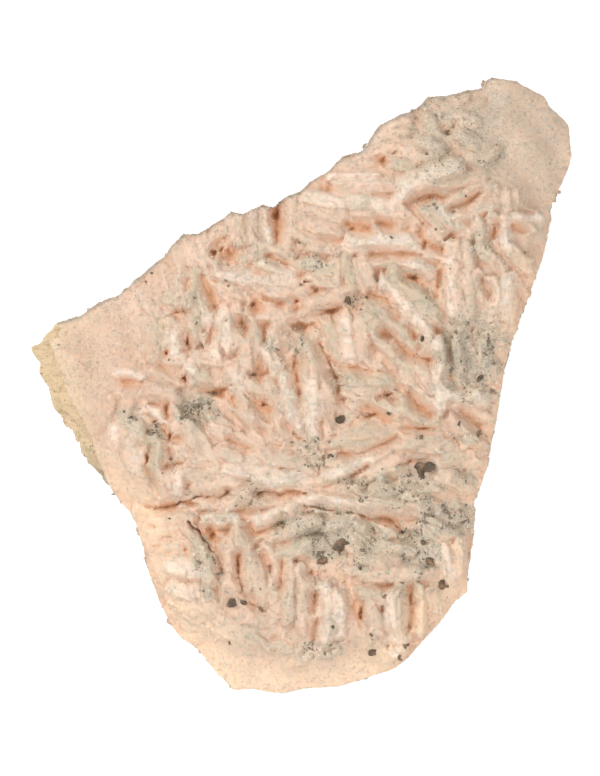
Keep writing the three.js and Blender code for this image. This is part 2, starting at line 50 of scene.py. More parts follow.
# The slab, in millimetres, with the same values as the solids
slab = {
    "seat": 13.3,             # underside of the crust
    "rimHeight": 20.5,
    "fieldHeight": 24.3,
    "rimWidth": 10.0,
    "edgeRound": 0.5, "edgeWidth": 2.2,
    "middle": (5.0, 0.0),
    "bareBand": 4.6,          # the crust stands back this far at the left edge
    "bareWest": (-36, -49),   # from nothing to all of that, along x
    "bareNorth": (9, 14),     # and back to nothing, along y
    "bareTurn": 0.25,
    "ledgeDrop": 1.3,         # the crust south of the long crack lies lower
    "ledgeLine": (-24.0, -0.08),
    "ledgeLip": 1.5,
    "ledgeFade": (2, 14),
    "ledgeEast": 24,          # and the ledge ends here
    "ripple": 0.45,
    "bladeExtra": 0.55,       # added to how far each blade stands
    "bladeRoot": 1.6,
    "flank": 1.15,
    "lowEnd": 0.62,           # height of the lower end, as a share of the higher
}

# The broken outline, clockwise from the left tip
outline = [
    (-54.9, 7.8), (-53.0, 8.6), (-51.6, 10.4), (-50.0, 12.3), (-44.0, 13.9), (-42.0, 15.4), (-40.0, 16.7),
    (-36.4, 18.4), (-33.6, 20.6), (-29.0, 24.4), (-27.0, 26.0), (-25.6, 28.0), (-23.4, 30.3), (-20.4, 30.5),
    (-16.0, 33.1), (-13.6, 34.8), (-11.2, 34.5), (-8.8, 35.6), (-7.2, 36.4), (-5.4, 35.9), (-3.0, 37.6),
    (0.0, 38.7), (2.2, 41.0), (6.0, 43.2), (8.8, 45.9), (12.6, 46.8), (14.2, 49.4), (16.0, 52.0),
    (20.0, 54.0), (24.0, 55.9), (26.2, 57.9), (30.0, 58.4), (37.2, 59.9), (37.8, 61.6), (39.2, 62.0),
    (44.2, 61.1), (47.0, 59.6), (49.2, 58.3), (50.4, 56.0), (52.8, 54.0), (54.3, 52.4), (54.9, 46.4),
    (54.2, 43.6), (52.6, 40.2), (51.0, 37.2), (50.3, 35.3), (50.6, 33.4), (49.1, 25.6), (47.6, 22.0),
    (44.4, 13.4), (41.6, 3.8), (39.8, -6.6), (38.0, -15.8), (36.4, -20.0), (35.1, -23.4), (35.3, -26.2),
    (34.8, -32.0), (33.8, -38.6), (33.9, -41.4), (31.0, -44.0), (28.6, -47.0), (26.2, -49.6), (22.0, -54.8),
    (18.6, -57.1), (14.0, -58.7), (9.0, -60.2), (2.0, -61.0), (-3.2, -62.0), (-8.6, -61.4), (-13.4, -61.3),
    (-17.6, -56.6), (-20.2, -53.2), (-23.4, -50.8), (-25.4, -48.2), (-28.0, -43.8), (-30.6, -36.0),
    (-31.3, -32.4), (-32.8, -28.0), (-34.4, -25.3), (-36.4, -23.9), (-37.6, -21.4), (-40.0, -18.6),
    (-43.2, -15.2), (-45.4, -11.4), (-48.0, -7.8), (-50.2, -4.2), (-51.8, 0.2), (-53.6, 5.0),
]

# Swells and hollows of the crust: centre, radius, height
swells = [
    (20, 18, 15, 2.0), (28, 42, 9, 1.6), (-4, -4, 13, 1.2), (-14, 22, 12, 0.9), (12, -23, 10, 0.9),
    (-25, -35, 6, 1.0), (5, -45, 9, 0.8), (8, 36, 9, 0.8), (4, -34, 8, -1.2), (17, -31, 6, -0.9),
    (34, 8, 6, -1.9), (-20, -4, 4, -1.8), (-42, 4, 12, -0.8), (45, 50, 11, -0.9), (-8, -55, 9, -0.8),
    (30, -26, 6, -0.9),
]

# The large blades: higher end, lower end, width, and how far the crest stands over the crust
blades = [
    # north-west
    (-24.2, 27.6, -23.2, 22.8, 2.4, 2.0), (-21.6, 28.2, -20.8, 23.4, 2.0, 2.2),
    (-19.3, 29.6, -18.9, 24.0, 2.0, 2.4), (-15.2, 31.0, -17.9, 26.6, 1.9, 3.0),
    (-13.4, 34.0, -13.2, 29.0, 1.8, 2.6), (-11.9, 34.0, -11.3, 25.0, 1.4, 3.2),
    (-10.4, 34.4, -10.4, 24.8, 1.4, 3.0), (-9.0, 34.2, -9.2, 25.2, 1.3, 3.2),
    (-7.5, 35.4, -7.3, 29.2, 1.8, 3.0), (-6.0, 35.0, -5.9, 28.2, 1.2, 3.2),
    (-2.4, 37.0, -2.5, 27.4, 2.3, 3.8), (0.0, 38.0, -0.2, 30.4, 1.8, 3.0),
    (-7.2, 28.6, -8.0, 23.8, 1.5, 2.8), (-6.6, 27.2, -1.4, 25.6, 1.6, 3.0),
    (-7.2, 24.2, -1.8, 22.4, 1.9, 3.0), (-17.2, 25.8, -14.2, 23.0, 1.8, 2.6),
    (-15.8, 22.8, -9.4, 21.2, 2.8, 3.2), (-26.6, 23.4, -26.0, 18.4, 2.0, 1.2),
    (-23.8, 21.6, -23.2, 17.4, 1.9, 1.6), (-26.8, 17.4, -22.8, 16.4, 2.0, 1.8),
    # west
    (-20.8, 22.4, -17.6, 15.2, 2.0, 3.0), (-21.6, 18.0, -20.6, 8.6, 2.4, 3.2),
    (-18.9, 17.6, -18.0, 12.2, 2.0, 3.0), (-15.2, 19.6, -12.0, 16.0, 3.0, 2.4),
    (-15.1, 14.8, -14.4, 7.2, 2.4, 3.8), (-12.5, 15.8, -12.9, 7.8, 2.0, 3.2),
    (-26.6, 12.9, -22.4, 12.0, 1.9, 2.4), (-28.2, 12.2, -28.4, 6.0, 1.8, 1.8),
    (-24.7, 10.2, -24.9, 6.6, 2.8, 3.2), (-29.2, 5.6, -21.4, 5.2, 2.2, 2.6),
    (-20.6, 5.6, -13.6, 4.6, 2.2, 3.2), (-29.2, 2.4, -23.6, 1.4, 1.8, 2.4),
    (-21.6, 3.6, -21.0, 1.0, 2.6, 3.2), (-19.6, 2.6, -17.8, 0.4, 2.2, 2.8),
    (-12.9, 3.6, -11.9, -0.4, 2.8, 3.6), (-18.0, 9.8, -16.4, 5.6, 1.8, 2.6),
    (-10.6, 10.4, -10.4, 3.6, 2.0, 2.6), (-36.2, 2.6, -31.0, 2.0, 1.8, 1.4),
    (-35.4, -1.2, -30.4, -1.6, 2.2, 1.8), (-30.0, -0.6, -24.2, -2.2, 2.6, 2.6),
    (-29.8, -4.4, -27.0, -6.6, 1.6, 2.4), (-25.8, -5.0, -23.8, -9.4, 2.4, 3.2),
    (-37.6, -2.6, -38.6, -7.6, 1.9, 1.4), (-34.0, -3.0, -35.6, -7.6, 1.8, 2.0),
    (-32.8, -7.0, -30.8, -10.8, 2.0, 2.4), (-36.6, -8.6, -37.0, -13.4, 2.2, 1.8),
    (-33.8, -9.0, -33.0, -15.6, 2.8, 2.4), (-28.7, -10.4, -28.8, -19.2, 2.3, 3.2),
    (-26.2, -11.4, -26.2, -15.4, 1.7, 2.8), (-26.9, -17.0, -26.0, -22.4, 2.4, 3.0),
    (-24.0, -16.2, -24.4, -22.2, 2.0, 2.6), (-31.9, -17.0, -29.8, -22.6, 2.2, 1.8),
    (-24.4, -10.8, -22.6, -15.4, 2.2, 3.4),
    # centre west
    (-9.8, 15.0, -1.8, 13.2, 2.8, 3.0), (-7.8, 21.0, 0.0, 20.8, 1.8, 2.8),
    (-6.2, 18.6, 1.8, 18.2, 1.8, 2.8), (-1.2, 14.9, 8.2, 17.8, 2.0, 3.8), (-4.4, 11.4, -5.4, 5.2, 2.6, 3.0),
    (-9.4, 12.6, -8.4, 5.0, 2.2, 2.6), (-6.6, 7.0, -3.4, 1.6, 2.2, 3.6), (-9.8, 0.4, -6.6, -1.6, 1.9, 3.0),
    (-5.8, 0.8, -2.4, -9.4, 2.4, 3.6), (-2.8, 1.6, -0.4, -8.6, 2.2, 3.4),
    (-12.9, -1.8, -9.6, -6.4, 2.8, 3.0), (-10.8, -5.4, -5.4, -10.8, 2.0, 3.2),
    (-22.4, -8.4, -18.4, -13.2, 3.4, 3.6), (-17.6, -5.6, -13.6, -9.4, 2.2, 2.6),
    (-17.2, -8.8, -10.2, -12.2, 2.4, 3.0), (-22.0, -14.6, -16.0, -15.4, 2.6, 2.6),
    (-22.8, -17.4, -17.4, -18.4, 2.6, 2.4), (-20.6, -20.0, -12.8, -19.4, 2.4, 2.4),
    (-15.8, -13.4, -8.4, -14.6, 2.4, 2.4), (-14.2, -16.6, -4.8, -16.8, 2.6, 2.2),
    (-8.8, -18.8, 0.6, -18.6, 2.4, 2.2), (-7.4, -13.6, 2.2, -16.0, 2.4, 2.4),
    (-19.4, -10.6, -16.6, -17.0, 2.0, 2.8),
    # centre
    (2.2, 10.6, 4.4, 1.2, 3.0, 3.8), (0.6, 9.4, 0.9, 1.6, 1.5, 2.8), (2.1, 0.4, 3.0, -9.8, 2.4, 3.6),
    (5.2, 0.8, 6.0, -9.0, 2.3, 3.4), (5.4, 13.2, 8.0, 4.4, 1.8, 3.2), (8.8, 14.2, 10.4, 4.4, 2.2, 3.2),
    (11.6, 13.2, 12.8, 5.6, 2.2, 3.2), (8.8, 1.8, 18.8, 0.8, 2.4, 2.8), (13.2, 14.0, 20.2, 5.0, 2.8, 3.2),
    (14.4, 16.8, 23.0, 8.2, 2.6, 3.8), (16.6, 20.4, 25.4, 11.0, 2.4, 3.6),
    (18.4, 22.8, 27.4, 13.8, 2.4, 4.0), (22.0, 24.4, 26.8, 22.0, 2.0, 3.6),
    (12.8, 25.0, 22.4, 24.6, 2.0, 3.2), (9.4, 25.8, 10.8, 19.6, 2.0, 3.2),
    (13.4, 24.2, 13.9, 19.0, 1.9, 3.2), (11.4, 24.8, 12.4, 19.4, 1.3, 2.4),
    (7.0, 25.2, 7.6, 20.6, 1.4, 2.6), (0.6, 24.4, 6.4, 23.4, 2.4, 3.0), (2.0, 21.2, 8.4, 19.8, 1.9, 2.8),
    (2.6, 27.6, 8.4, 27.0, 2.0, 2.8), (0.8, 29.4, 6.0, 29.0, 1.7, 2.6), (10.2, 28.8, 24.2, 28.4, 3.2, 3.8),
    (16.0, 26.9, 11.4, 27.4, 1.2, 2.4), (3.6, 17.0, 8.6, 19.0, 1.4, 2.6),
    # north
    (1.4, 37.6, 8.6, 36.4, 2.4, 3.2), (1.2, 34.6, 9.0, 33.4, 2.0, 2.6), (1.4, 32.0, 8.2, 30.8, 2.4, 2.8),
    (9.8, 36.8, 19.4, 35.4, 2.4, 3.0), (7.6, 39.4, 18.6, 39.6, 2.2, 2.8),
    (21.6, 39.6, 18.6, 35.2, 1.6, 3.4), (11.8, 33.2, 21.8, 33.6, 2.2, 3.0),
    (24.4, 36.0, 28.8, 31.2, 2.4, 3.6), (27.4, 36.4, 31.8, 31.0, 2.2, 3.4),
    (23.8, 29.4, 29.2, 30.0, 1.8, 2.6), (24.0, 27.2, 28.8, 25.8, 1.7, 3.0),
    (31.6, 43.6, 20.4, 40.2, 2.8, 4.0), (22.4, 38.7, 36.6, 41.6, 2.2, 3.4),
    (30.2, 36.2, 38.0, 39.6, 2.0, 3.0), (31.8, 34.0, 39.4, 36.8, 2.2, 3.0),
    (6.2, 41.3, 15.6, 41.3, 1.8, 2.4), (7.0, 43.2, 15.2, 43.6, 2.2, 2.4),
    (11.6, 45.8, 19.0, 47.4, 2.2, 2.4), (15.2, 49.4, 22.2, 50.2, 2.4, 2.0),
    (17.2, 52.2, 22.2, 52.6, 2.2, 2.2), (18.4, 44.6, 22.6, 43.0, 1.8, 2.4),
    (24.0, 48.8, 28.4, 46.4, 2.2, 2.6), (25.4, 53.0, 27.8, 49.6, 2.0, 2.4),
    (30.6, 53.4, 35.4, 52.4, 2.4, 2.4), (31.2, 50.2, 35.4, 47.4, 2.2, 2.2),
    (24.0, 44.6, 30.2, 45.4, 1.8, 2.0), (20.0, 47.4, 23.6, 45.8, 1.6, 1.8),
    (20.4, 34.8, 24.0, 31.4, 1.8, 2.8), (12.6, 30.9, 20.8, 31.1, 1.6, 2.6),
    # north-east
    (29.4, 27.8, 30.4, 13.8, 1.7, 3.8), (31.3, 28.2, 32.2, 12.6, 1.6, 3.6),
    (33.2, 28.4, 33.8, 13.6, 1.6, 3.4), (38.2, 33.4, 40.6, 28.4, 1.9, 3.0),
    (41.0, 33.0, 41.4, 28.2, 2.0, 2.6), (35.2, 33.2, 36.4, 28.2, 1.8, 2.4),
    (42.8, 33.4, 48.4, 33.6, 1.7, 2.0), (43.6, 31.3, 48.6, 31.2, 1.5, 1.8),
    (41.0, 38.8, 41.2, 34.4, 1.8, 2.0), (38.8, 39.4, 39.0, 35.6, 1.6, 1.8),
    (43.0, 38.2, 43.2, 34.8, 1.8, 1.4), (35.8, 27.4, 40.0, 22.6, 2.4, 2.8),
    (41.4, 27.4, 46.0, 23.4, 2.4, 1.8), (35.4, 22.4, 35.8, 12.0, 2.0, 2.8),
    (38.2, 20.6, 37.6, 12.2, 2.6, 2.8), (41.4, 21.6, 40.2, 13.2, 2.8, 2.0),
    (37.0, 10.6, 41.2, 11.6, 1.5, 2.2), (34.4, 31.0, 32.2, 28.6, 1.6, 2.4),
    # east
    (20.6, 5.8, 23.4, -1.4, 2.2, 3.2), (23.8, 4.4, 26.2, -1.2, 2.0, 3.0), (27.4, 9.0, 28.2, -4.6, 2.1, 4.2),
    (25.2, 11.6, 25.8, 5.0, 2.0, 3.0), (18.8, -2.8, 27.2, -7.6, 2.8, 4.0),
    (22.2, -0.8, 27.4, -4.8, 1.8, 3.2), (29.8, -1.8, 37.0, -2.4, 2.6, 3.6),
    (32.2, -3.8, 38.4, -7.0, 2.0, 2.8), (30.4, -6.8, 35.2, -11.6, 2.2, 2.4),
    (11.0, -3.2, 18.8, -4.9, 2.6, 3.8), (9.0, -1.2, 15.4, -1.0, 1.8, 2.8),
    (15.8, -3.2, 18.8, -3.6, 1.4, 4.0), (9.6, -8.6, 18.4, -9.2, 2.6, 2.8),
    (20.6, -9.9, 28.4, -9.9, 1.6, 2.8), (17.6, -11.2, 29.6, -12.6, 2.4, 2.8),
    (6.8, -11.6, 16.6, -10.9, 1.8, 2.6), (17.2, -12.6, 6.0, -15.2, 2.0, 3.0),
    (14.0, -15.0, 5.4, -18.4, 2.3, 3.2), (19.6, -14.4, 12.8, -17.0, 1.9, 2.8),
    (20.8, -17.2, 14.8, -18.4, 1.9, 2.6), (29.4, -14.6, 35.8, -14.4, 2.2, 2.0),
    (28.4, -17.8, 34.6, -20.6, 2.4, 2.0), (22.0, -19.8, 27.6, -20.4, 1.9, 2.2),
    (29.0, 4.0, 30.2, -1.0, 1.5, 2.4), (31.0, 9.6, 31.8, 3.2, 1.6, 2.0), (36.4, 9.0, 37.0, 3.0, 2.2, 1.6),
    # south
    (0.6, -22.4, 12.4, -24.0, 2.2, 2.8), (11.2, -20.6, 19.8, -21.0, 2.8, 2.8),
    (12.6, -23.4, 20.2, -23.8, 2.4, 2.6), (21.4, -22.2, 28.6, -25.2, 3.2, 2.6),
    (-0.4, -24.4, -8.8, -27.2, 2.3, 3.4), (3.6, -26.8, -6.4, -30.4, 2.8, 3.4),
    (4.6, -31.6, -4.6, -33.6, 2.4, 2.8), (12.4, -28.4, 19.8, -29.4, 2.6, 2.8),
    (5.4, -28.2, 11.6, -27.2, 2.2, 2.4), (10.6, -33.8, 19.6, -35.6, 2.2, 2.8),
    (24.8, -37.2, 12.0, -38.2, 2.2, 2.8), (15.4, -31.6, 22.4, -33.4, 2.0, 2.8),
    (25.8, -27.2, 30.6, -30.6, 2.2, 2.2), (28.8, -32.6, 30.2, -38.0, 1.9, 2.2),
    (31.9, -31.0, 32.0, -37.4, 1.8, 1.8), (8.4, -36.6, 13.8, -37.2, 1.6, 2.4),
    (-18.6, -26.8, -12.4, -26.4, 2.0, 3.0), (-29.0, -26.6, -21.6, -25.8, 2.2, 2.0),
    (-29.4, -29.8, -23.8, -29.0, 2.8, 2.2), (-22.4, -28.2, -19.0, -32.4, 1.8, 3.0),
    (-26.8, -32.2, -23.4, -32.0, 1.8, 2.4), (-14.3, -31.4, -13.6, -42.0, 2.5, 3.6),
    (-11.6, -28.0, -10.0, -39.8, 2.4, 3.8), (-8.8, -33.8, -7.2, -42.6, 2.3, 3.0),
    (-6.8, -31.8, -4.2, -36.2, 2.0, 2.8), (-4.9, -37.4, -4.8, -46.2, 1.8, 2.8),
    (-2.3, -35.6, -2.1, -46.8, 2.0, 3.2), (0.1, -36.2, 0.5, -48.4, 1.8, 3.0),
    (2.0, -38.6, 1.9, -50.8, 1.5, 3.2), (5.0, -40.0, 5.3, -50.6, 2.4, 3.2),
    (8.0, -41.4, 8.1, -49.4, 2.2, 3.0), (-25.6, -35.8, -20.4, -37.0, 3.2, 3.2),
    (-24.8, -39.8, -21.2, -41.6, 3.0, 2.6), (-23.4, -43.6, -17.6, -46.4, 2.8, 2.2),
    (-18.4, -36.2, -17.2, -42.4, 2.0, 2.8), (-19.4, -32.4, -17.6, -35.8, 1.7, 2.8),
    (-12.0, -45.6, -6.6, -47.4, 2.2, 1.8), (12.2, -40.8, 16.4, -42.6, 2.2, 2.8),
    (14.4, -44.0, 15.4, -50.2, 2.6, 3.2), (18.1, -41.6, 18.5, -50.8, 2.0, 3.6),
    (20.4, -40.2, 20.6, -51.4, 1.7, 3.6), (23.7, -40.2, 23.4, -48.8, 2.0, 3.0),
    (26.2, -41.0, 27.0, -45.8, 2.2, 2.0), (18.8, -53.4, 20.8, -51.9, 1.9, 2.8),
    (7.0, -52.0, 2.8, -53.6, 1.8, 1.6), (-15.6, -48.6, -10.4, -50.6, 2.4, 1.2),
    (-9.2, -20.9, -15.6, -24.6, 2.0, 2.2), (-22.6, -23.0, -16.8, -23.8, 1.8, 2.0),
    (-8.4, -22.9, -0.4, -21.9, 1.8, 2.4),
]

# Deep pits between the blades: centre, half sizes, depth
pits = [
    (-4.4, 33.9, 0.9, 1.6, 3.0), (-4.3, 30.2, 0.6, 2.0, 2.2), (-16.9, 26.4, 0.8, 1.2, 3.8),
    (-13.8, 26.2, 3.0, 2.2, 4.2), (-9.1, 16.2, 0.9, 0.7, 2.6), (-0.5, 16.8, 0.7, 0.6, 2.2),
    (0.7, 11.7, 2.0, 1.2, 4.2), (-24.2, 14.6, 1.8, 0.9, 1.6), (-22.2, 8.8, 0.4, 1.2, 2.6),
    (-26.4, 6.4, 0.5, 0.5, 2.4), (-22.8, 1.4, 0.6, 0.8, 2.6), (-16.0, -1.4, 3.0, 1.2, 4.6),
    (-13.2, -2.6, 0.7, 0.9, 2.8), (-26.5, -4.6, 0.6, 1.4, 2.4), (-28.8, -7.2, 0.9, 0.8, 2.4),
    (-25.8, -10.0, 0.7, 1.2, 2.6), (-30.3, -14.4, 0.5, 1.6, 2.8), (-7.1, -3.8, 1.0, 0.9, 3.0),
    (10.6, 31.3, 1.0, 0.7, 2.6), (16.8, 44.8, 0.9, 0.8, 2.8), (29.8, 50.5, 0.8, 0.7, 3.0),
    (22.8, 21.4, 1.2, 0.8, 3.2), (27.7, 20.2, 0.5, 2.2, 2.6), (6.2, 14.8, 2.0, 0.7, 2.2),
    (17.5, -1.9, 1.2, 0.6, 2.6), (14.2, -5.9, 2.4, 0.8, 2.4), (24.2, -8.6, 2.2, 0.5, 2.2),
    (22.2, -15.0, 1.2, 0.7, 2.8), (-17.3, -29.8, 1.0, 1.4, 3.2), (-22.6, -32.6, 0.8, 0.8, 2.0),
    (2.5, -37.2, 0.6, 0.8, 2.4), (9.0, -39.2, 0.9, 0.8, 2.2), (12.2, -45.6, 0.8, 1.8, 3.0),
    (22.2, -42.6, 0.5, 2.2, 2.4), (-5.8, -36.4, 0.5, 1.0, 2.0), (38.8, 30.2, 0.9, 1.4, 2.0),
    (25.0, 28.4, 0.9, 1.2, 2.4), (-1.0, 4.2, 0.4, 2.0, 2.2), (1.2, 20.6, 0.8, 0.4, 1.8),
]

# Open cracks, the long one with its ledge first
cracks = [
    [(-30.8, -24.3), (-29.4, -24.8), (-27.2, -24.4), (-25.0, -24.2), (-23.6, -23.2), (-22.0, -22.9),
     (-20.4, -22.1), (-18.4, -22.3), (-17.2, -22.0), (-15.8, -22.4), (-14.2, -21.3)],
    [(-8.2, -21.5), (-7.0, -21.1), (-5.6, -21.3), (-4.6, -21.1), (-3.8, -21.9), (-2.4, -21.2),
     (-1.2, -20.8), (0.2, -21.4), (1.4, -21.5)],
    [(1.2, -24.0), (3.4, -24.2), (5.6, -24.9), (7.0, -24.9), (8.2, -25.5), (10.2, -25.2), (11.6, -25.5),
     (12.8, -26.0), (14.2, -26.7), (15.2, -26.3), (16.6, -26.4), (18.6, -27.0), (19.6, -28.3),
     (20.8, -29.2)],
    [(-22.0, -27.0), (-21.2, -28.2), (-20.0, -28.9), (-19.3, -30.4), (-18.2, -31.3), (-17.6, -32.8),
     (-16.4, -33.6), (-15.8, -35.2), (-15.2, -37.0)],
    [(-12.4, -34.2), (-12.0, -38.0), (-11.2, -41.0), (-9.6, -43.4), (-7.6, -44.4)],
    [(4.2, 8.2), (5.6, 5.6), (6.6, 3.0), (7.6, 1.4)],
]
crackShape = {
    "width": 0.4, "depth": 3.2, "lip": 0.8, "sink": 0.4, "slope": 3.6, "power": 1.2,
    "dark": (0.0, 0.36),      # how far from the line its painted shade reaches
    "tones": (0.6, 0.75, 0.7, 0.15, 0.3, 0.15),    # how dark the painted shade in each is
}

# Sphalerite crystals that are solids of their own: x, y, length, width, turn
sphalerites = [
    (25.0, -16.5, 3.8, 3.2, 20), (8.6, -32.2, 3.2, 3.0, 50), (5.0, -34.6, 2.6, 2.2, 10),
    (-13.2, -43.8, 3.2, 2.3, -15), (15.0, -53.2, 2.6, 2.0, 30), (28.4, -39.8, 2.2, 1.8, 0),
    (8.2, -6.6, 1.8, 2.6, 0), (26.0, -35.0, 1.9, 1.7, 45),
]

# Where the crust differs in look. Spots name a blade by a point near its middle.
looks = {
    "bright": [
        (-6.6, 29.7), (-12.8, 22.4), (-10.9, 22), (-7.3, 23), (-3.3, 21.4), (-9.1, 19.1), (-7.4, 18.8),
        (-17, 13.8), (-14.7, 11), (-4.3, 4.8), (-20, 9.6), (-24.9, 8.1), (-21, 2.8), (-20.4, 1),
        (-12.1, 1.7), (-30.8, 1.1), (-28.5, -5.5), (-32.3, -14.4), (-35, -10.7), (-22.7, -18.1),
        (-2.8, -2.8), (-1, -3.5), (1.5, -4.5), (3.6, -4.2), (8.3, 9.2), (21.8, 15.8), (26.4, 22.9),
        (16.9, 28.5), (5.5, 36.5), (11.6, 40.5), (15, 34.7), (21.1, 37.9), (25, 42.1), (26.2, 39.7),
        (32.5, 34.2), (40.9, 33.2), (45.9, 33.8), (30.1, 22.6), (40, 15.3), (27.6, 3.2), (33.7, -2.8),
        (10, -19.5), (-6.8, -14.6), (-4, -17.9), (6.3, -23.1), (-4.6, -24.3), (-16.9, -26.6), (-24.3, -35),
        (-24.3, -38.3), (-23.2, -41.5), (4.4, -45.3), (6.7, -44.6), (18.7, -46.6), (19.6, -52.9),
        (29, -33.5), (30.2, -39.8),
    ],
    "coated": [
        (-11.7, 29.4), (-5.9, 32.1), (-16, 24.1), (-5.1, 24.2), (-19.5, 18.5), (-2.3, 3.7), (-28.2, 9),
        (-29.4, 8), (-25.7, 1.5), (-37.2, -3.3), (-31, -9.3), (-28.9, -15), (1.9, 4.5), (4.5, 5),
        (12.5, 2.2), (16.5, -3.8), (13.6, -7.9), (19.4, 12.7), (23.6, 18.6), (16.1, 21.7), (9.7, 22.4),
        (16.8, 27.3), (4.3, 24.4), (27.1, 35), (30.2, 30.8), (31.5, 16), (38, 25.5), (22.3, 4),
        (22.8, -5.2), (34.5, 0), (13.5, -21.5), (20.6, -21.5), (-1.4, -27.6), (-0.2, -30.6), (-15.8, -25.1),
        (-22, -28.6), (-18.2, -40.2), (20.8, -45.7), (24.4, -43.3), (18.2, -29.4), (31.8, -34),
    ],
    "clean": [
        (-14.6, 18.2), (-2.3, 18.8), (3.3, 14.5), (-5.1, 8.2), (-8.5, 6.8), (-17, 2.9), (-28.2, -1.7),
        (-25.9, -8), (-24.9, -5.8), (-24.9, -18.5), (-16.5, -17), (-13, -10.2), (5.6, -2.4), (13, 21.4),
        (6, 30), (14, 38), (17.4, 33.1), (26.8, 31), (39.2, 34.8), (35.4, 18.6), (36.9, 13.7), (35.7, -5.7),
        (22, -24.8), (-27, -28), (-27, -31.3), (-14.1, -36.5), (14.3, -47.8), (19, -32.2),
    ],
}

# Patches with a grey film and dark specks: centre, half sizes, strength
speckPatches = [
    (-20, -4.2, 3, 2.8, 1.0), (-6, 8.4, 1.4, 1.6, 0.7), (-0.5, 8.2, 1.2, 2.2, 0.7),
    (-33.5, -6.2, 2, 1.6, 0.7), (-28.5, -9, 1, 1.4, 0.6), (34.5, 6, 5, 5.6, 0.95),
    (11, 16.6, 1.3, 1.1, 0.6), (26.2, 16.5, 1.2, 1.9, 0.6), (3, 24.2, 2.4, 1.1, 0.5),
    (37, 47.2, 3.4, 4.2, 0.6), (34, 57, 4.5, 2.6, 0.35), (29, 50, 5.6, 6.6, 0.6), (27, 36, 1.4, 1.4, 0.5),
    (36, 28.2, 1.8, 2.8, 0.6), (7.8, 0.5, 2, 1.8, 0.5), (2, -13, 2.4, 2.4, 0.7), (34, -10.2, 1.3, 1.2, 0.6),
    (32.8, -18.5, 2.2, 1.4, 0.7), (17.5, -21, 8, 2.4, 0.6), (5, -29.5, 5.6, 3.8, 1.0),
    (14, -30.6, 2.6, 3.8, 1.0), (23.5, -33, 4, 3.4, 1.0), (30, -26.5, 4.4, 2.8, 0.9),
    (-10, -22, 2.4, 2.2, 0.5), (-18.8, -33.8, 1.5, 2.6, 0.7), (-18.8, -41, 1.2, 1, 0.6),
    (5, -53, 3.4, 1.4, 0.6),
]
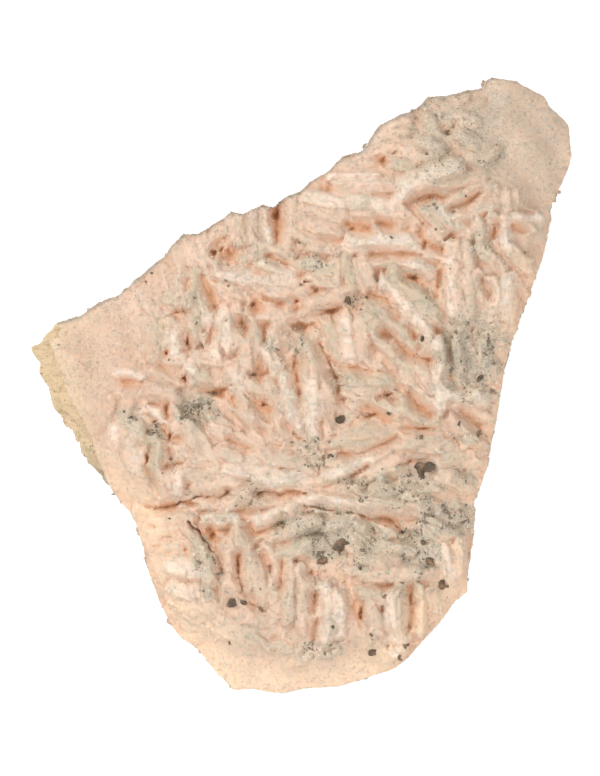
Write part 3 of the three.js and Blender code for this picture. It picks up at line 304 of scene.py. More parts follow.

# Clefts between the blades, with painted orange-brown shade in them: width, depth under the crust, darkness
# of the painted shade, course
clefts = [
    (2.6, 1.4, 0.9, [(-15, 29.0), (-17, 26.4)]), (2.4, 1.2, 0.8, [(-16.6, 26.3), (-12.4, 24.4)]),
    (1.5, 1.4, 0.8, [(-4.4, 35.2), (-4.2, 31.5), (-4.3, 28.6)]), (1.0, 0.8, 0.7, [(-6, 25.8), (-2.2, 24)]),
    (1.9, 1.4, 0.9, [(-19.2, 21.6), (-17.8, 18.5), (-16.6, 15.5)]),
    (1.8, 1.4, 0.8, [(-8.8, 17), (-8.4, 15.4)]), (1.1, 1.0, 0.7, [(-11.3, 12.5), (-10.5, 11.2)]),
    (1.1, 1.2, 0.8, [(-0.6, 17), (-0.4, 15.4)]), (1.9, 1.8, 0.9, [(-0.8, 12.0), (1.0, 11.2), (2.6, 12.2)]),
    (0.9, 0.8, 0.6, [(3.5, 14), (8.3, 15.5)]), (0.9, 1.0, 0.7, [(-22.2, 9.5), (-21.8, 7.5)]),
    (1.2, 1.0, 0.8, [(-26.5, 6.8), (-26.3, 6.0)]), (0.9, 0.8, 0.6, [(-17.5, 11), (-18, 8.5)]),
    (1.1, 1.0, 0.6, [(-27.5, 4), (-22.7, 0.8)]), (2.6, 1.8, 0.7, [(-19.5, -1), (-15, -1.2), (-12.8, -3.3)]),
    (1.0, 1.2, 0.8, [(-0.9, 5.8), (-0.3, 1)]), (1.0, 1.2, 0.8, [(4.2, 8.3), (6, 5), (7.3, 4.2)]),
    (0.9, 1.0, 0.7, [(6.2, 3), (7.6, 1.5)]), (1.8, 1.4, 0.8, [(9.5, 32.1), (12.5, 31.4), (14, 31.2)]),
    (1.2, 1.0, 0.7, [(16, 32.3), (18.5, 31.7)]), (1.0, 1.0, 0.7, [(14.5, 26), (19, 26.2), (24.3, 25.8)]),
    (1.2, 1.2, 0.8, [(24, 31), (25, 28.5), (28.3, 27)]), (1.5, 1.2, 0.8, [(21.7, 21.7), (23.9, 20.9)]),
    (1.2, 1.6, 0.9, [(27.9, 22.5), (27.3, 17.8)]),
    (1.1, 1.0, 0.7, [(14, 18.2), (17.5, 17), (18.6, 15.2), (20, 13.5)]),
    (1.1, 1.0, 0.7, [(17, 10.4), (19, 9.5), (20.8, 7.2), (22, 6), (26, 5)]),
    (1.2, 1.2, 0.8, [(21.8, 12), (23.3, 9.5)]), (1.1, 1.2, 0.8, [(8, 3.6), (11, 3.6), (14.5, 2.8)]),
    (1.6, 1.2, 0.8, [(15.8, 45.2), (17.2, 44.0)]),
    (1.5, 1.4, 0.8, [(28.9, 51.6), (29.8, 50.4), (30.9, 51.6)]),
    (1.0, 1.0, 0.7, [(23.5, 37), (26.5, 37.6), (29, 37.3)]),
    (1.0, 1.2, 0.8, [(30.5, 35.3), (33, 36), (36, 38.3)]), (1.8, 1.4, 0.8, [(42.7, 31.8), (44.8, 30.7)]),
    (1.0, 1.0, 0.7, [(44, 35.2), (46.5, 34.6)]), (1.9, 1.2, 0.6, [(39.4, 31.8), (38.2, 29.2)]),
    (1.1, 0.8, 0.5, [(36.2, 21.3), (38, 18)]), (0.8, 1.4, 1.0, [(34.4, 11.5), (34.4, 10)]),
    (1.0, 1.0, 0.7, [(30.2, 2.2), (30.3, 1.5), (31.8, 0), (33, -0.6)]),
    (1.0, 1.0, 0.7, [(32, -5), (36.5, -8.5)]), (1.0, 1.2, 0.9, [(-29.8, -3.6), (-27, -3.9), (-26.1, -6.3)]),
    (1.1, 1.0, 0.8, [(-32.3, -6), (-30, -5.7), (-28.5, -7), (-27, -8.8), (-25.5, -10.8), (-24, -10.6)]),
    (0.9, 0.7, 0.6, [(-30.6, -15.7), (-27.8, -21.8)]), (0.9, 0.8, 0.7, [(-26, -12.5), (-25.3, -15)]),
    (0.8, 0.8, 0.8, [(-26.3, -16), (-23.4, -15.5)]), (1.0, 1.0, 0.6, [(-14, -10.8), (-10.3, -12.6)]),
    (1.6, 1.3, 0.8, [(-8.6, -3.4), (-7.2, -3.7), (-6, -5.2)]),
    (1.0, 1.0, 0.7, [(-8, -8.3), (-6.5, -10), (-5.6, -11.6), (-3.9, -12)]),
    (1.0, 1.0, 0.7, [(-2.3, -8), (-0.5, -10), (1.5, -11.3)]), (1.0, 1.2, 0.8, [(4.3, -7.5), (4.8, -10.5)]),
    (1.0, 1.2, 0.8, [(10.3, -7.8), (13.5, -4.3)]),
    (1.5, 1.4, 0.8, [(13.5, -4.3), (16, -5.8), (18.3, -7.3)]),
    (0.9, 1.0, 0.7, [(16, -2.2), (17.3, -1.3), (19, -3)]),
    (1.1, 1.2, 0.8, [(21.8, -1.5), (23.5, -3.8), (26.2, -5.9)]),
    (0.9, 0.9, 0.7, [(20, -8.3), (24.5, -8.7), (27, -8.7)]),
    (1.0, 1.0, 0.7, [(8, -13.3), (10, -13.8), (11.5, -13.8), (17, -11.6), (19.2, -10.3)]),
    (0.9, 0.9, 0.7, [(10.5, -18), (13.5, -16.2)]), (0.9, 0.9, 0.7, [(5, -20.2), (8, -19.3)]),
    (0.9, 0.9, 0.7, [(13.3, -20.5), (13.8, -19.5), (15, -19)]),
    (0.9, 0.9, 0.7, [(17.7, -18.2), (19, -18.8)]), (0.9, 0.9, 0.7, [(22, -19.2), (24.5, -19.6)]),
    (1.2, 1.6, 1.0, [(-30.5, -24.2), (-28, -24.6), (-25, -23.9)]),
    (1.1, 1.4, 0.9, [(-22.5, -23), (-21, -23.5)]),
    (1.1, 1.5, 0.9, [(-19.5, -22), (-16, -22.4), (-14, -21.2)]),
    (1.2, 1.6, 1.0, [(-8, -21.5), (-6, -21.2), (-4, -21.8), (-2.5, -21.2), (0, -21.3), (1.2, -21.5)]),
    (1.1, 1.4, 0.9, [(1, -24.2), (3.5, -24), (6, -24.6), (8, -25.2), (10, -25)]),
    (1.2, 1.5, 1.0, [(12.7, -26), (14, -26.6), (17, -26.4), (19.5, -27.3), (20.7, -29.2), (24, -29.6)]),
    (1.4, 0.8, 0.5, [(-11.3, -24.7), (-10.1, -25.5)]),
    (1.0, 1.0, 0.7, [(-10, -27.8), (-9, -29.6), (-6, -28.6), (-3.5, -27.5)]),
    (2.6, 1.6, 0.9, [(-18.2, -28.8), (-16.4, -30.8)]),
    (1.2, 1.4, 0.9, [(-16.8, -31.6), (-16.2, -34), (-15.3, -37)]),
    (1.0, 1.2, 0.8, [(-12.2, -34), (-12.2, -38), (-11.2, -39.8)]),
    (1.0, 1.2, 0.8, [(-11.7, -41), (-10.5, -42.5), (-8.5, -44.4)]),
    (1.0, 1.0, 0.7, [(-16.5, -40.5), (-15.8, -43)]), (1.0, 1.0, 0.7, [(-7.5, -33.5), (-5.5, -37)]),
    (0.9, 0.8, 0.6, [(-3.5, -35), (-3.6, -40)]), (1.0, 1.1, 0.7, [(3.2, -42), (3, -44.5)]),
    (1.0, 1.0, 0.7, [(3.3, -47), (2.7, -51.5)]), (1.6, 1.2, 0.7, [(2.2, -37.2), (2.8, -37.2)]),
    (1.0, 1.0, 0.7, [(6.8, -36.5), (9.6, -40)]), (1.0, 1.0, 0.8, [(14.3, -27.5), (15.2, -29.5)]),
    (1.2, 1.4, 0.8, [(10.8, -43.8), (11.5, -46), (12.7, -48.3)]),
    (1.3, 1.3, 0.8, [(22, -40.2), (22.5, -44), (22, -48)]), (0.9, 0.9, 0.7, [(7, -51), (9, -50.7)]),
    (0.9, 0.9, 0.7, [(5.2, -52.8), (6.8, -52.2)]), (1.8, 1.2, 0.6, [(-35, 0.9), (-32.8, 0.5)]),
    (0.9, 1.0, 0.8, [(-29.8, -12.5), (-30.3, -15.3)]), (1.4, 1.2, 0.7, [(-23, -31.8), (-22.2, -33.2)]),
]


# Small numeric helpers
farAway = 1e9                 # more than any distance or height here


def smoothStep(low, high, value):
    t = np.clip((value - low) / (high - low), 0.0, 1.0)
    return t * t * (3 - 2 * t)


def fadeOut(low, high, value):
    return 1 - smoothStep(low, high, value)


def ripple(x, y):
    return np.sin(x * 0.61 + 1.3 * np.sin(y * 0.23)) * np.cos(y * 0.53 - 0.9 * np.sin(x * 0.31))


def distanceToLine(x, y, points, closed=False):
    nearest = np.full(np.shape(x), farAway)
    line = points + points[:1] if closed else points
    for (ax, ay), (bx, by) in zip(line, line[1:]):
        dx, dy = bx - ax, by - ay
        t = np.clip(((x - ax) * dx + (y - ay) * dy) / (dx ** 2 + dy ** 2), 0, 1)
        nearest = np.minimum(nearest, np.hypot(x - ax - t * dx, y - ay - t * dy))
    return nearest


def alongCourse(x, y, course):
    # distance to a course, and how far along it the nearest point lies, from 0 to 1
    nearest = np.full(np.shape(x), farAway)
    place = np.zeros(np.shape(x))
    lengths = [math.hypot(bx - ax, by - ay) for (ax, ay), (bx, by) in zip(course, course[1:])]
    done = 0.0
    for (ax, ay), (bx, by), length in zip(course, course[1:], lengths):
        dx, dy = bx - ax, by - ay
        t = np.clip(((x - ax) * dx + (y - ay) * dy) / length ** 2, 0, 1)
        gap = np.hypot(x - ax - t * dx, y - ay - t * dy)
        closer = gap < nearest
        nearest = np.where(closer, gap, nearest)
        place = np.where(closer, (done + t * length) / sum(lengths), place)
        done += length
    return nearest, place


def courseWidth(width, place):
    # widest part way along and thin at both ends, and the narrow ones thinner still
    slim = 0.45 + 0.55 * float(smoothStep(1.0, 1.8, width))
    return width * slim * (0.3 + 0.7 * np.sin(np.pi * np.clip(place * 0.9 + 0.08, 0, 1)))


def insideOutline(x, y, points):
    inside = np.zeros(np.shape(x), bool)
    for (ax, ay), (bx, by) in zip(points, points[1:] + points[:1]):
        crosses = (ay > y) != (by > y)
        with np.errstate(divide="ignore", invalid="ignore"):
            inside ^= crosses & (x < (bx - ax) * (y - ay) / (by - ay + 1e-12) + ax)
    return inside


def cellValues(cell, seed):
    # a fixed random value from 0 to 1 for each cell
    h = (cell[:, 0] * 73856093) ^ (cell[:, 1] * 19349663) ^ (cell[:, 2] * 83492791) ^ (seed * 2654435761)
    h &= 0xFFFFFFFF
    h = ((h ^ (h >> 13)) * 1274126177) & 0xFFFFFFFF
    return ((h ^ (h >> 16)) & 0xFFFF) / 65535.0


def hashNoise(points, size, seed):
    # smooth noise between -1 and 1
    scaled = points / size
    cell = np.floor(scaled).astype(np.int64)
    part = scaled - cell
    part = part * part * (3 - 2 * part)
    total = np.zeros(len(points))
    for corner in range(8):
        offset = np.array([(corner >> axis) & 1 for axis in range(3)])
        weight = np.prod(np.where(offset == 1, part, 1 - part), axis=1)
        total += cellValues(cell + offset, seed) * weight
    return total * 2 - 1


def layeredNoise(points, layers, seed):
    # layers are height and size
    return sum(height * hashNoise(points, size, seed + k) for k, (height, size) in enumerate(layers))


def flatPoints(x, y):
    return np.stack([x, y, 0 * x], 1)


def facetShift(points, turn, sizes, tilt, seed):
    # each spot leans with the small crystal it belongs to, which leaves low steps between neighbours
    c, s = np.cos(turn), np.sin(turn)
    x, y, z = points.T
    sizes = np.array(sizes)
    scaled = np.column_stack([x * c + y * s, y * c - x * s, z]) / sizes
    cell = np.floor(scaled).astype(np.int64)
    nearest = np.full(len(points), farAway)
    shift = np.zeros(len(points))
    for offset in itertools.product((-1, 0, 1), repeat=3):
        near = cell + np.array(offset)
        gap = scaled - near - np.column_stack([cellValues(near, seed + k) for k in range(3)])
        far = (gap ** 2).sum(axis=1)
        lean = np.column_stack([cellValues(near, seed + 3 + k) for k in range(3)]) * 2 - 1
        closer = far < nearest
        nearest = np.where(closer, far, nearest)
        shift = np.where(closer, (gap * sizes * lean).sum(axis=1), shift)
    return shift * tilt


# Fields over the slab, kept as grids so that every piece reads the same heights
gridStep = 0.5
gridX, gridY = (np.arange(-reach, reach + gridStep, gridStep) for reach in (64.0, 70.0))
meshX, meshY = np.meshgrid(gridX, gridY, indexing="ij")


def crustEdge():
    # the outline of the crust alone, which leaves a band of rock bare at the left
    points = []
    for x, y in outline:
        back = slab["bareBand"] * float(smoothStep(*slab["bareWest"], x))
        back *= float(fadeOut(*slab["bareNorth"], y))
        points.append((x + back, y + back * slab["bareTurn"]))
    return points


def readGrid(grid, x, y):
    u = np.clip((np.asarray(x) - gridX[0]) / gridStep, 0, len(gridX) - 1.001)
    v = np.clip((np.asarray(y) - gridY[0]) / gridStep, 0, len(gridY) - 1.001)
    i, j = u.astype(int), v.astype(int)
    fu, fv = u - i, v - j
    low = grid[i, j] * (1 - fu) + grid[i + 1, j] * fu
    high = grid[i, j + 1] * (1 - fu) + grid[i + 1, j + 1] * fu
    return low * (1 - fv) + high * fv


def gridCells(points):
    # the grid corner nearest to each point
    i = np.clip(np.rint((points[:, 0] - gridX[0]) / gridStep).astype(int), 0, len(gridX) - 1)
    j = np.clip(np.rint((points[:, 1] - gridY[0]) / gridStep).astype(int), 0, len(gridY) - 1)
    return i, j


def crustHeight(x, y, edge):
    rim, field = slab["rimHeight"], slab["fieldHeight"]
    height = rim + (field - rim) * smoothStep(0, slab["rimWidth"], edge)
    for sx, sy, radius, rise in swells:
        height = height + rise * np.exp(-((x - sx) ** 2 + (y - sy) ** 2) / radius ** 2)
    south = slab["ledgeLine"][0] + slab["ledgeLine"][1] * x - y
    drop = slab["ledgeDrop"] * smoothStep(0, slab["ledgeLip"], south) * fadeOut(*slab["ledgeFade"], south)
    height = height - slab["edgeRound"] * fadeOut(0, slab["edgeWidth"], edge)
    return height - np.where(x < slab["ledgeEast"], drop, 0) + slab["ripple"] * ripple(x, y)


edgeGrid = distanceToLine(meshX, meshY, outline, True)
insideGrid = insideOutline(meshX, meshY, outline)
heightGrid = crustHeight(meshX, meshY, edgeGrid)
signedGrid = np.where(insideGrid, edgeGrid, -edgeGrid)
outX, outY = (-slope for slope in np.gradient(signedGrid, gridStep))
rimPoints = crustEdge()
rimInside = insideOutline(meshX, meshY, rimPoints)
rimGrid = np.where(rimInside, 1.0, -1.0) * distanceToLine(meshX, meshY, rimPoints, True)
print("fields ready")

# How each large blade is broken up into smaller ones, and what fills the gaps between them
bladeLook = {
    "spread": 1.2,            # width of each large blade, times its width in the list
    "slivers": 1,             # smaller blades grown on each large one
    "sliverWidth": (0.3, 0.6), "sliverLength": (0.25, 0.7),    # in shares of the large one
    "link": 6.0,              # length of the stubby crystals that make up a blade
    "overlap": (0.5, 1.5),    # how much longer each is than its share
    "waver": 0.035,           # how far they stray from the blade's line
    "bed": 1.0,               # the crust between the blades is filled up to this height
    "fillers": 480,           # short blades between the large ones
    "fillerLength": (2.0, 5.0),
    "bareFrom": 4.5,          # none of them closer to the edge than this
    "rimFillers": 160,        # low, blunt ones near the edge
    "rimLength": (1.5, 4.0), "rimBand": (0.8, 9),
    "fillerWidth": (1.2, 2.6),
}
# The form of one stubby crystal, in shares of its width
plank = {
    "shoulder": (0.42, 0.45), # where it reaches its full width: at most this share of its length
    "over": 0.3,              # how far its ends run on
    "taper": (0.66, 0.34),    # width at the ends, and what is added up to the shoulder
    "crest": 0.7,             # half width of its flat top
    "bevel": 0.17,            # the broken edge beside the top
    "flank": 0.42,            # where the flank bends
    "endRise": {0: 0.7, 5: 0.9, 6: 0.35},    # how high the first and the last two rings stand
}
# Areas with no blades: centre, half sizes
smoothAreas = [
    (-44, 4, 15, 13), (-41, -14, 8, 9), (46, 52, 11, 16), (48, 34, 4, 10), (-28, 26, 5, 5),
    (-14, -57, 12, 6), (6, -58, 16, 5), (33, -42, 5, 6), (-34, -22, 5, 5),
]


class Shape:
    # vertices and faces of many closed bodies in one mesh
    def __init__(self):
        self.points = []
        self.faces = []

    def add(self, points, faces):
        start = len(self.points)
        self.points.extend(points)
        self.faces.extend([tuple(start + i for i in face) for face in faces])


def addBlade(shape, rng, ax, ay, bx, by, width, highRise, lowRise, root, flank, lean, slope=None):
    length = math.hypot(bx - ax, by - ay)
    along = ((bx - ax) / length, (by - ay) / length)
    across = (-along[1], along[0])
    zA = float(readGrid(heightGrid, ax, ay))
    zB = float(readGrid(heightGrid, bx, by))
    shoulder = min(plank["shoulder"][0], width * plank["shoulder"][1] / length)
    over = plank["over"] * width / length
    stations = [-over, shoulder * 0.2, shoulder, 0.5, 1 - shoulder, 1 - shoulder * 0.2, 1 + over]
    bow = rng.uniform(-0.03, 0.09) * width
    tilt = (rng.uniform(-0.17, 0.17) if slope is None else slope) * width
    crook = rng.uniform(-0.1, 0.1) * width
    skew = rng.uniform(-0.8, 0.8)
    bevel, bend = plank["bevel"] * width, plank["flank"]
    rings = []
    for index, u in enumerate(stations):
        full = min(max(u, 0) / shoulder, max(1 - u, 0) / shoulder, 1.0)
        half = width / 2 * min(1.0, plank["taper"][0] + plank["taper"][1] * full)
        base = zA + (zB - zA) * u
        rise = highRise + (lowRise - highRise) * u + bow * 4 * u * (1 - u)
        rise *= plank["endRise"].get(index, 1)
        crest = half * plank["crest"]
        shift = crook * 4 * u * (1 - u)
        rows = [
            (-half - flank, -root), (-half - flank * bend, rise * bend), (-half * 0.98, rise + tilt - bevel),
            (-crest + lean, rise + tilt), (crest + lean, rise - tilt), (half * 0.98, rise - tilt - bevel),
            (half + flank * bend, rise * bend), (half + flank, -root),
        ]
        for v, z in rows:
            reach = u * length + skew * v * (1 if u > 0.5 else -1)
            rings.append((ax + along[0] * reach + across[0] * (v + shift),
                          ay + along[1] * reach + across[1] * (v + shift), base + z))
    size = len(rows)
    faces = [tuple(range(size - 1, -1, -1)), tuple((len(stations) - 1) * size + i for i in range(size))]
    for ring in range(len(stations) - 1):
        for i in range(size):
            j = (i + 1) % size
            a = ring * size
            faces.append((a + i, a + j, a + size + j, a + size + i))
    shape.add(rings, faces)


def beside(x, y, turn, reach, side=0.0):
    # the place this far along a direction, and this far to the left of it
    c, s = math.cos(turn), math.sin(turn)
    return x + c * reach - s * side, y + s * reach + c * side


def addChain(shape, rng, ax, ay, bx, by, width, highRise, lowRise, slope):
    # a blade is a row of stubby crystals that overlap and lie nearly parallel
    length = math.hypot(bx - ax, by - ay)
    angle = math.atan2(by - ay, bx - ax)
    count = max(2, round(length / bladeLook["link"]))
    side = 0.0
    for k in range(count):
        side += rng.gauss(0, bladeLook["waver"]) * width
        start = length * k / count - rng.uniform(0.1, 0.5)
        reach = length / count + rng.uniform(*bladeLook["overlap"])
        turn = angle + rng.gauss(0, bladeLook["waver"])
        sx, sy = beside(ax, ay, angle, start, side)
        rise = highRise + (lowRise - highRise) * k / count + rng.uniform(-0.1, 0.12)
        addBlade(shape, rng, sx, sy, *beside(sx, sy, turn, reach), width * rng.uniform(0.88, 1.05), rise,
                 rise + (lowRise - highRise) / count, slab["bladeRoot"], slab["flank"],
                 rng.uniform(-0.08, 0.08) * width, slope + rng.gauss(0, 0.025))


def addSlivers(shape, rng, blade):
    ax, ay, bx, by, width, stand = blade
    rise = stand + slab["bladeExtra"]
    length = math.hypot(bx - ax, by - ay)
    angle = math.atan2(by - ay, bx - ax)
    for _ in range(bladeLook["slivers"]):
        size = rng.uniform(*bladeLook["sliverWidth"]) * width
        reach = rng.uniform(*bladeLook["sliverLength"]) * length
        start = rng.uniform(-0.04, 1.0 - reach / length) * length
        side = rng.choice((-1, 1)) * rng.uniform(0.25, 0.68) * width
        turn = angle + rng.gauss(0, 0.06)
        sx, sy = beside(ax, ay, angle, start, side)
        fall = 1 - (1 - slab["lowEnd"]) * start / length
        top = rise * fall * rng.uniform(0.85, 0.97) - abs(side) * rng.uniform(0.25, 0.75)
        addBlade(shape, rng, sx, sy, *beside(sx, sy, turn, reach), size,
                 top, top * rng.uniform(0.72, 1.0), slab["bladeRoot"], 0.35, 0)


def nearPit(x, y, grow):
    return any(((x - px) / (rx + grow)) ** 2 + ((y - py) / (ry + grow)) ** 2 < 1
               for px, py, rx, ry, _ in pits)


def smoothness(x, y):
    value = 0.0
    for sx, sy, rx, ry in smoothAreas:
        value = max(value, 1.3 - math.hypot((x - sx) / rx, (y - sy) / ry))
    return min(1.0, max(0.0, value * 2))


smoothGrid = np.array([[smoothness(x, y) for y in gridY] for x in gridX])


def addFillers(shape, rng):
    centres = np.array([((b[0] + b[2]) / 2, (b[1] + b[3]) / 2) for b in blades])
    turns = np.array([math.atan2(b[3] - b[1], b[2] - b[0]) for b in blades])
    made = 0
    while made < bladeLook["fillers"]:
        x, y = rng.uniform(-50, 50), rng.uniform(-58, 56)
        edge = float(readGrid(rimGrid, x, y))
        if edge < bladeLook["bareFrom"] or rng.random() < smoothness(x, y) or nearPit(x, y, 0.5):
            continue
        nearest = int(np.argmin((centres[:, 0] - x) ** 2 + (centres[:, 1] - y) ** 2))
        turn = turns[nearest] + rng.gauss(0, 0.6)
        length = rng.uniform(*bladeLook["fillerLength"])
        width = rng.uniform(*bladeLook["fillerWidth"])
        rise = bladeLook["bed"] + rng.uniform(-0.2, 0.8)
        addBlade(shape, rng, x, y, *beside(x, y, turn, length), width, rise, rise * rng.uniform(0.6, 0.95),
                 slab["bladeRoot"], 0.3, rng.uniform(-0.2, 0.2))
        made += 1
    made = 0
    while made < bladeLook["rimFillers"]:
        x, y = rng.uniform(-54, 54), rng.uniform(-61, 61)
        edge = float(readGrid(rimGrid, x, y))
        low, high = bladeLook["rimBand"]
        if edge < low or edge > high or rng.random() < 1.5 * smoothness(x, y):
            continue
        turn = rng.uniform(0, math.pi)
        length = rng.uniform(*bladeLook["rimLength"])
        rise = rng.uniform(0.1, 0.35) + float(readGrid(bedGrid, x, y))
        addBlade(shape, rng, x, y, *beside(x, y, turn, length), rng.uniform(*bladeLook["fillerWidth"]),
                 rise, rise * 0.6, 1.0, 0.8, 0)
        made += 1


def meshObject(name, points, faces):
    mesh = bpy.data.meshes.new(name)
    mesh.from_pydata([tuple(p) for p in points], [], faces)
    mesh.update()
    thing = bpy.data.objects.new(name, mesh)
    bpy.context.scene.collection.objects.link(thing)
    return thing


def applyModifiers(thing):
    bpy.context.view_layer.update()
    graph = bpy.context.evaluated_depsgraph_get()
    mesh = bpy.data.meshes.new_from_object(thing.evaluated_get(graph))
    old = thing.data
    thing.modifiers.clear()
    thing.data = mesh
    bpy.data.meshes.remove(old)


def fuse(thing, voxel):
    remesh = thing.modifiers.new("remesh", "REMESH")
    remesh.mode = "VOXEL"
    remesh.voxel_size = voxel
    applyModifiers(thing)


def thinOut(thing, triangles):
    thing.data.calc_loop_triangles()
    count = len(thing.data.loop_triangles)
    if count > triangles:
        thing.modifiers.new("thin", "DECIMATE").ratio = triangles / count
        applyModifiers(thing)


def readVectors(mesh, name):
    values = np.zeros(len(mesh.vertices) * 3, np.float32)
    mesh.vertices.foreach_get(name, values)
    return values.reshape(-1, 3).astype(float)


def writePoints(mesh, points):
    mesh.vertices.foreach_set("co", points.astype(np.float32).ravel())
    mesh.update()


def writeValues(thing, name, values):
    layer = thing.data.attributes.new(name, "FLOAT", "POINT")
    layer.data.foreach_set("value", values.astype(np.float32))


def nearBlade(x, y, blade, margin):
    ax, ay, bx, by = blade[:4]
    return np.hypot(x - (ax + bx) / 2, y - (ay + by) / 2) < math.hypot(bx - ax, by - ay) / 2 + margin


def nearCourse(x, y, course, margin=3):
    low, high = np.min(course, axis=0) - margin, np.max(course, axis=0) + margin
    return (x > low[0]) & (x < high[0]) & (y > low[1]) & (y < high[1])


def bedAndTurn():
    # fill between the blades, none on the smooth areas, and the direction of the nearest blade
    crowd = np.zeros(meshX.shape)
    turn = np.zeros(meshX.shape)
    nearest = np.full(meshX.shape, farAway)
    for blade in blades:
        ax, ay, bx, by, width, _ = blade
        near = nearBlade(meshX, meshY, blade, 8)
        gap = distanceToLine(meshX[near], meshY[near], [(ax, ay), (bx, by)]) - width / 2
        crowd[near] = np.maximum(crowd[near], fadeOut(0.5, 3.0, gap))
        turn[near] = np.where(gap < nearest[near], math.atan2(by - ay, bx - ax), turn[near])
        nearest[near] = np.minimum(nearest[near], gap)
    return bladeLook["bed"] * crowd, turn


bedGrid, turnGrid = bedAndTurn()


def fieldBlock(step):
    # the crust between the blades: a block over the outline, a little wider than it
    xs, ys = (np.arange(-reach, reach + step, step) for reach in (58, 65))
    gx, gy = np.meshgrid(xs, ys, indexing="ij")
    keep = readGrid(rimGrid, gx + step / 2, gy + step / 2) > -2.0
    keep[-1, :] = False
    keep[:, -1] = False
    uneven = hashNoise(flatPoints(gx.ravel(), gy.ravel()), 2.4, 3).reshape(gx.shape)
    tops = readGrid(heightGrid, gx, gy) + 0.15 * uneven
    tops += readGrid(bedGrid, gx, gy)
    used = np.zeros(gx.shape, bool)
    for dx, dy in itertools.product((0, 1), repeat=2):
        used[dx:, dy:] |= keep[:keep.shape[0] - dx, :keep.shape[1] - dy]
    count = int(used.sum())
    number = np.full(gx.shape, -1)
    number[used] = np.arange(count)
    low = slab["seat"] - 2
    points = list(zip(gx[used], gy[used], tops[used]))
    points += [(x, y, low) for x, y in zip(gx[used], gy[used])]
    faces = []
    for i, j in zip(*np.nonzero(keep)):
        a, b, c, d = number[i, j], number[i + 1, j], number[i + 1, j + 1], number[i, j + 1]
        faces.append((a, b, c, d))
        faces.append((a + count, d + count, c + count, b + count))
        for (di, dj), (p, q) in (((0, -1), (a, b)), ((1, 0), (b, c)), ((0, 1), (c, d)), ((-1, 0), (d, a))):
            if not keep[i + di, j + dj]:
                faces.append((p + count, q + count, q, p))
    return points, [tuple(int(v) for v in face) for face in faces]


def ringAround(points, spacing):
    # the outline with evenly spaced corners, anticlockwise
    loop = [Vector((x, y, 0)) for x, y in reversed(points)]
    loop.append(loop[0])
    out = []
    for a, b in zip(loop, loop[1:]):
        steps = max(1, round((b - a).length / spacing))
        out.extend([a.lerp(b, k / steps) for k in range(steps)])
    return np.array([(p.x, p.y) for p in out])


# The broken side of the crust
wallLook = {
    "spacing": 0.45, "rough": 1.1,
    "bites": ((0.6, 6.0), (0.5, 2.4), (0.25, 1.0)), "inward": 0.55,    # height and size of each roughness
    "calm": 0.68, "calmBand": (4, 1),             # less rough at the top, this far below the rim
    "overlap": 0.7,                               # how far it reaches into the rock
}


def wallSolid(points, levels, seed):
    # a slab with a broken, rough wall: levels are height and share of the outline
    spacing, rimHeight = wallLook["spacing"], slab["rimHeight"]
    ring = ringAround(points, spacing)
    middle = np.array(slab["middle"])
    steps = []
    for (h0, s0), (h1, s1) in zip(levels, levels[1:]):
        count = max(1, round((h1 - h0) / spacing))
        steps.extend([(h0 + (h1 - h0) * k / count, s0 + (s1 - s0) * k / count) for k in range(count)])
    steps.append(levels[-1])
    cloud = np.concatenate([np.column_stack([middle + (ring - middle) * share, np.full(len(ring), height)])
                            for height, share in steps])
    out = np.column_stack([cloud[:, :2] - middle, np.zeros(len(cloud))])
    out /= np.linalg.norm(out, axis=1)[:, None]
    bite = layeredNoise(cloud, wallLook["bites"], seed) - wallLook["inward"]
    below, above = (rimHeight - height for height in wallLook["calmBand"])
    bite *= wallLook["rough"] * (1 - wallLook["calm"] * smoothStep(below, above, cloud[:, 2]))
    cloud = cloud + out * bite[:, None]
    size = len(ring)
    faces = []
    for k in range(len(steps) - 1):
        for i in range(size):
            j = (i + 1) % size
            faces.append((k * size + i, k * size + j, (k + 1) * size + j, (k + 1) * size + i))
    bottom, top = len(cloud), len(cloud) + 1
    cloud = np.vstack([cloud, [*middle, levels[0][0]], [*middle, levels[-1][0]]])
    last = (len(steps) - 1) * size
    for i in range(size):
        j = (i + 1) % size
        faces.append((bottom, j, i))
        faces.append((top, last + i, last + j))
    return cloud, faces


# How the openings are cut: lip is the height over the crust at the edge, sink the share of the depth
wobble = ((0.45, 1.7), (0.2, 0.7))        # unevenness of every opening: height and size
pitShape = {"lip": 0.8, "sink": 0.6, "slope": (0.5, 2.4), "power": 1.5, "round": 0.45, "corner": 0.75}
cleftShape = {"lip": 1.3, "sink": 0.75, "slope": 1.5, "uneven": 0.3, "floor": 0.2}
pocketShape = {"lip": 0.15, "slope": 1.3, "size": 0.9, "uneven": 0.5}


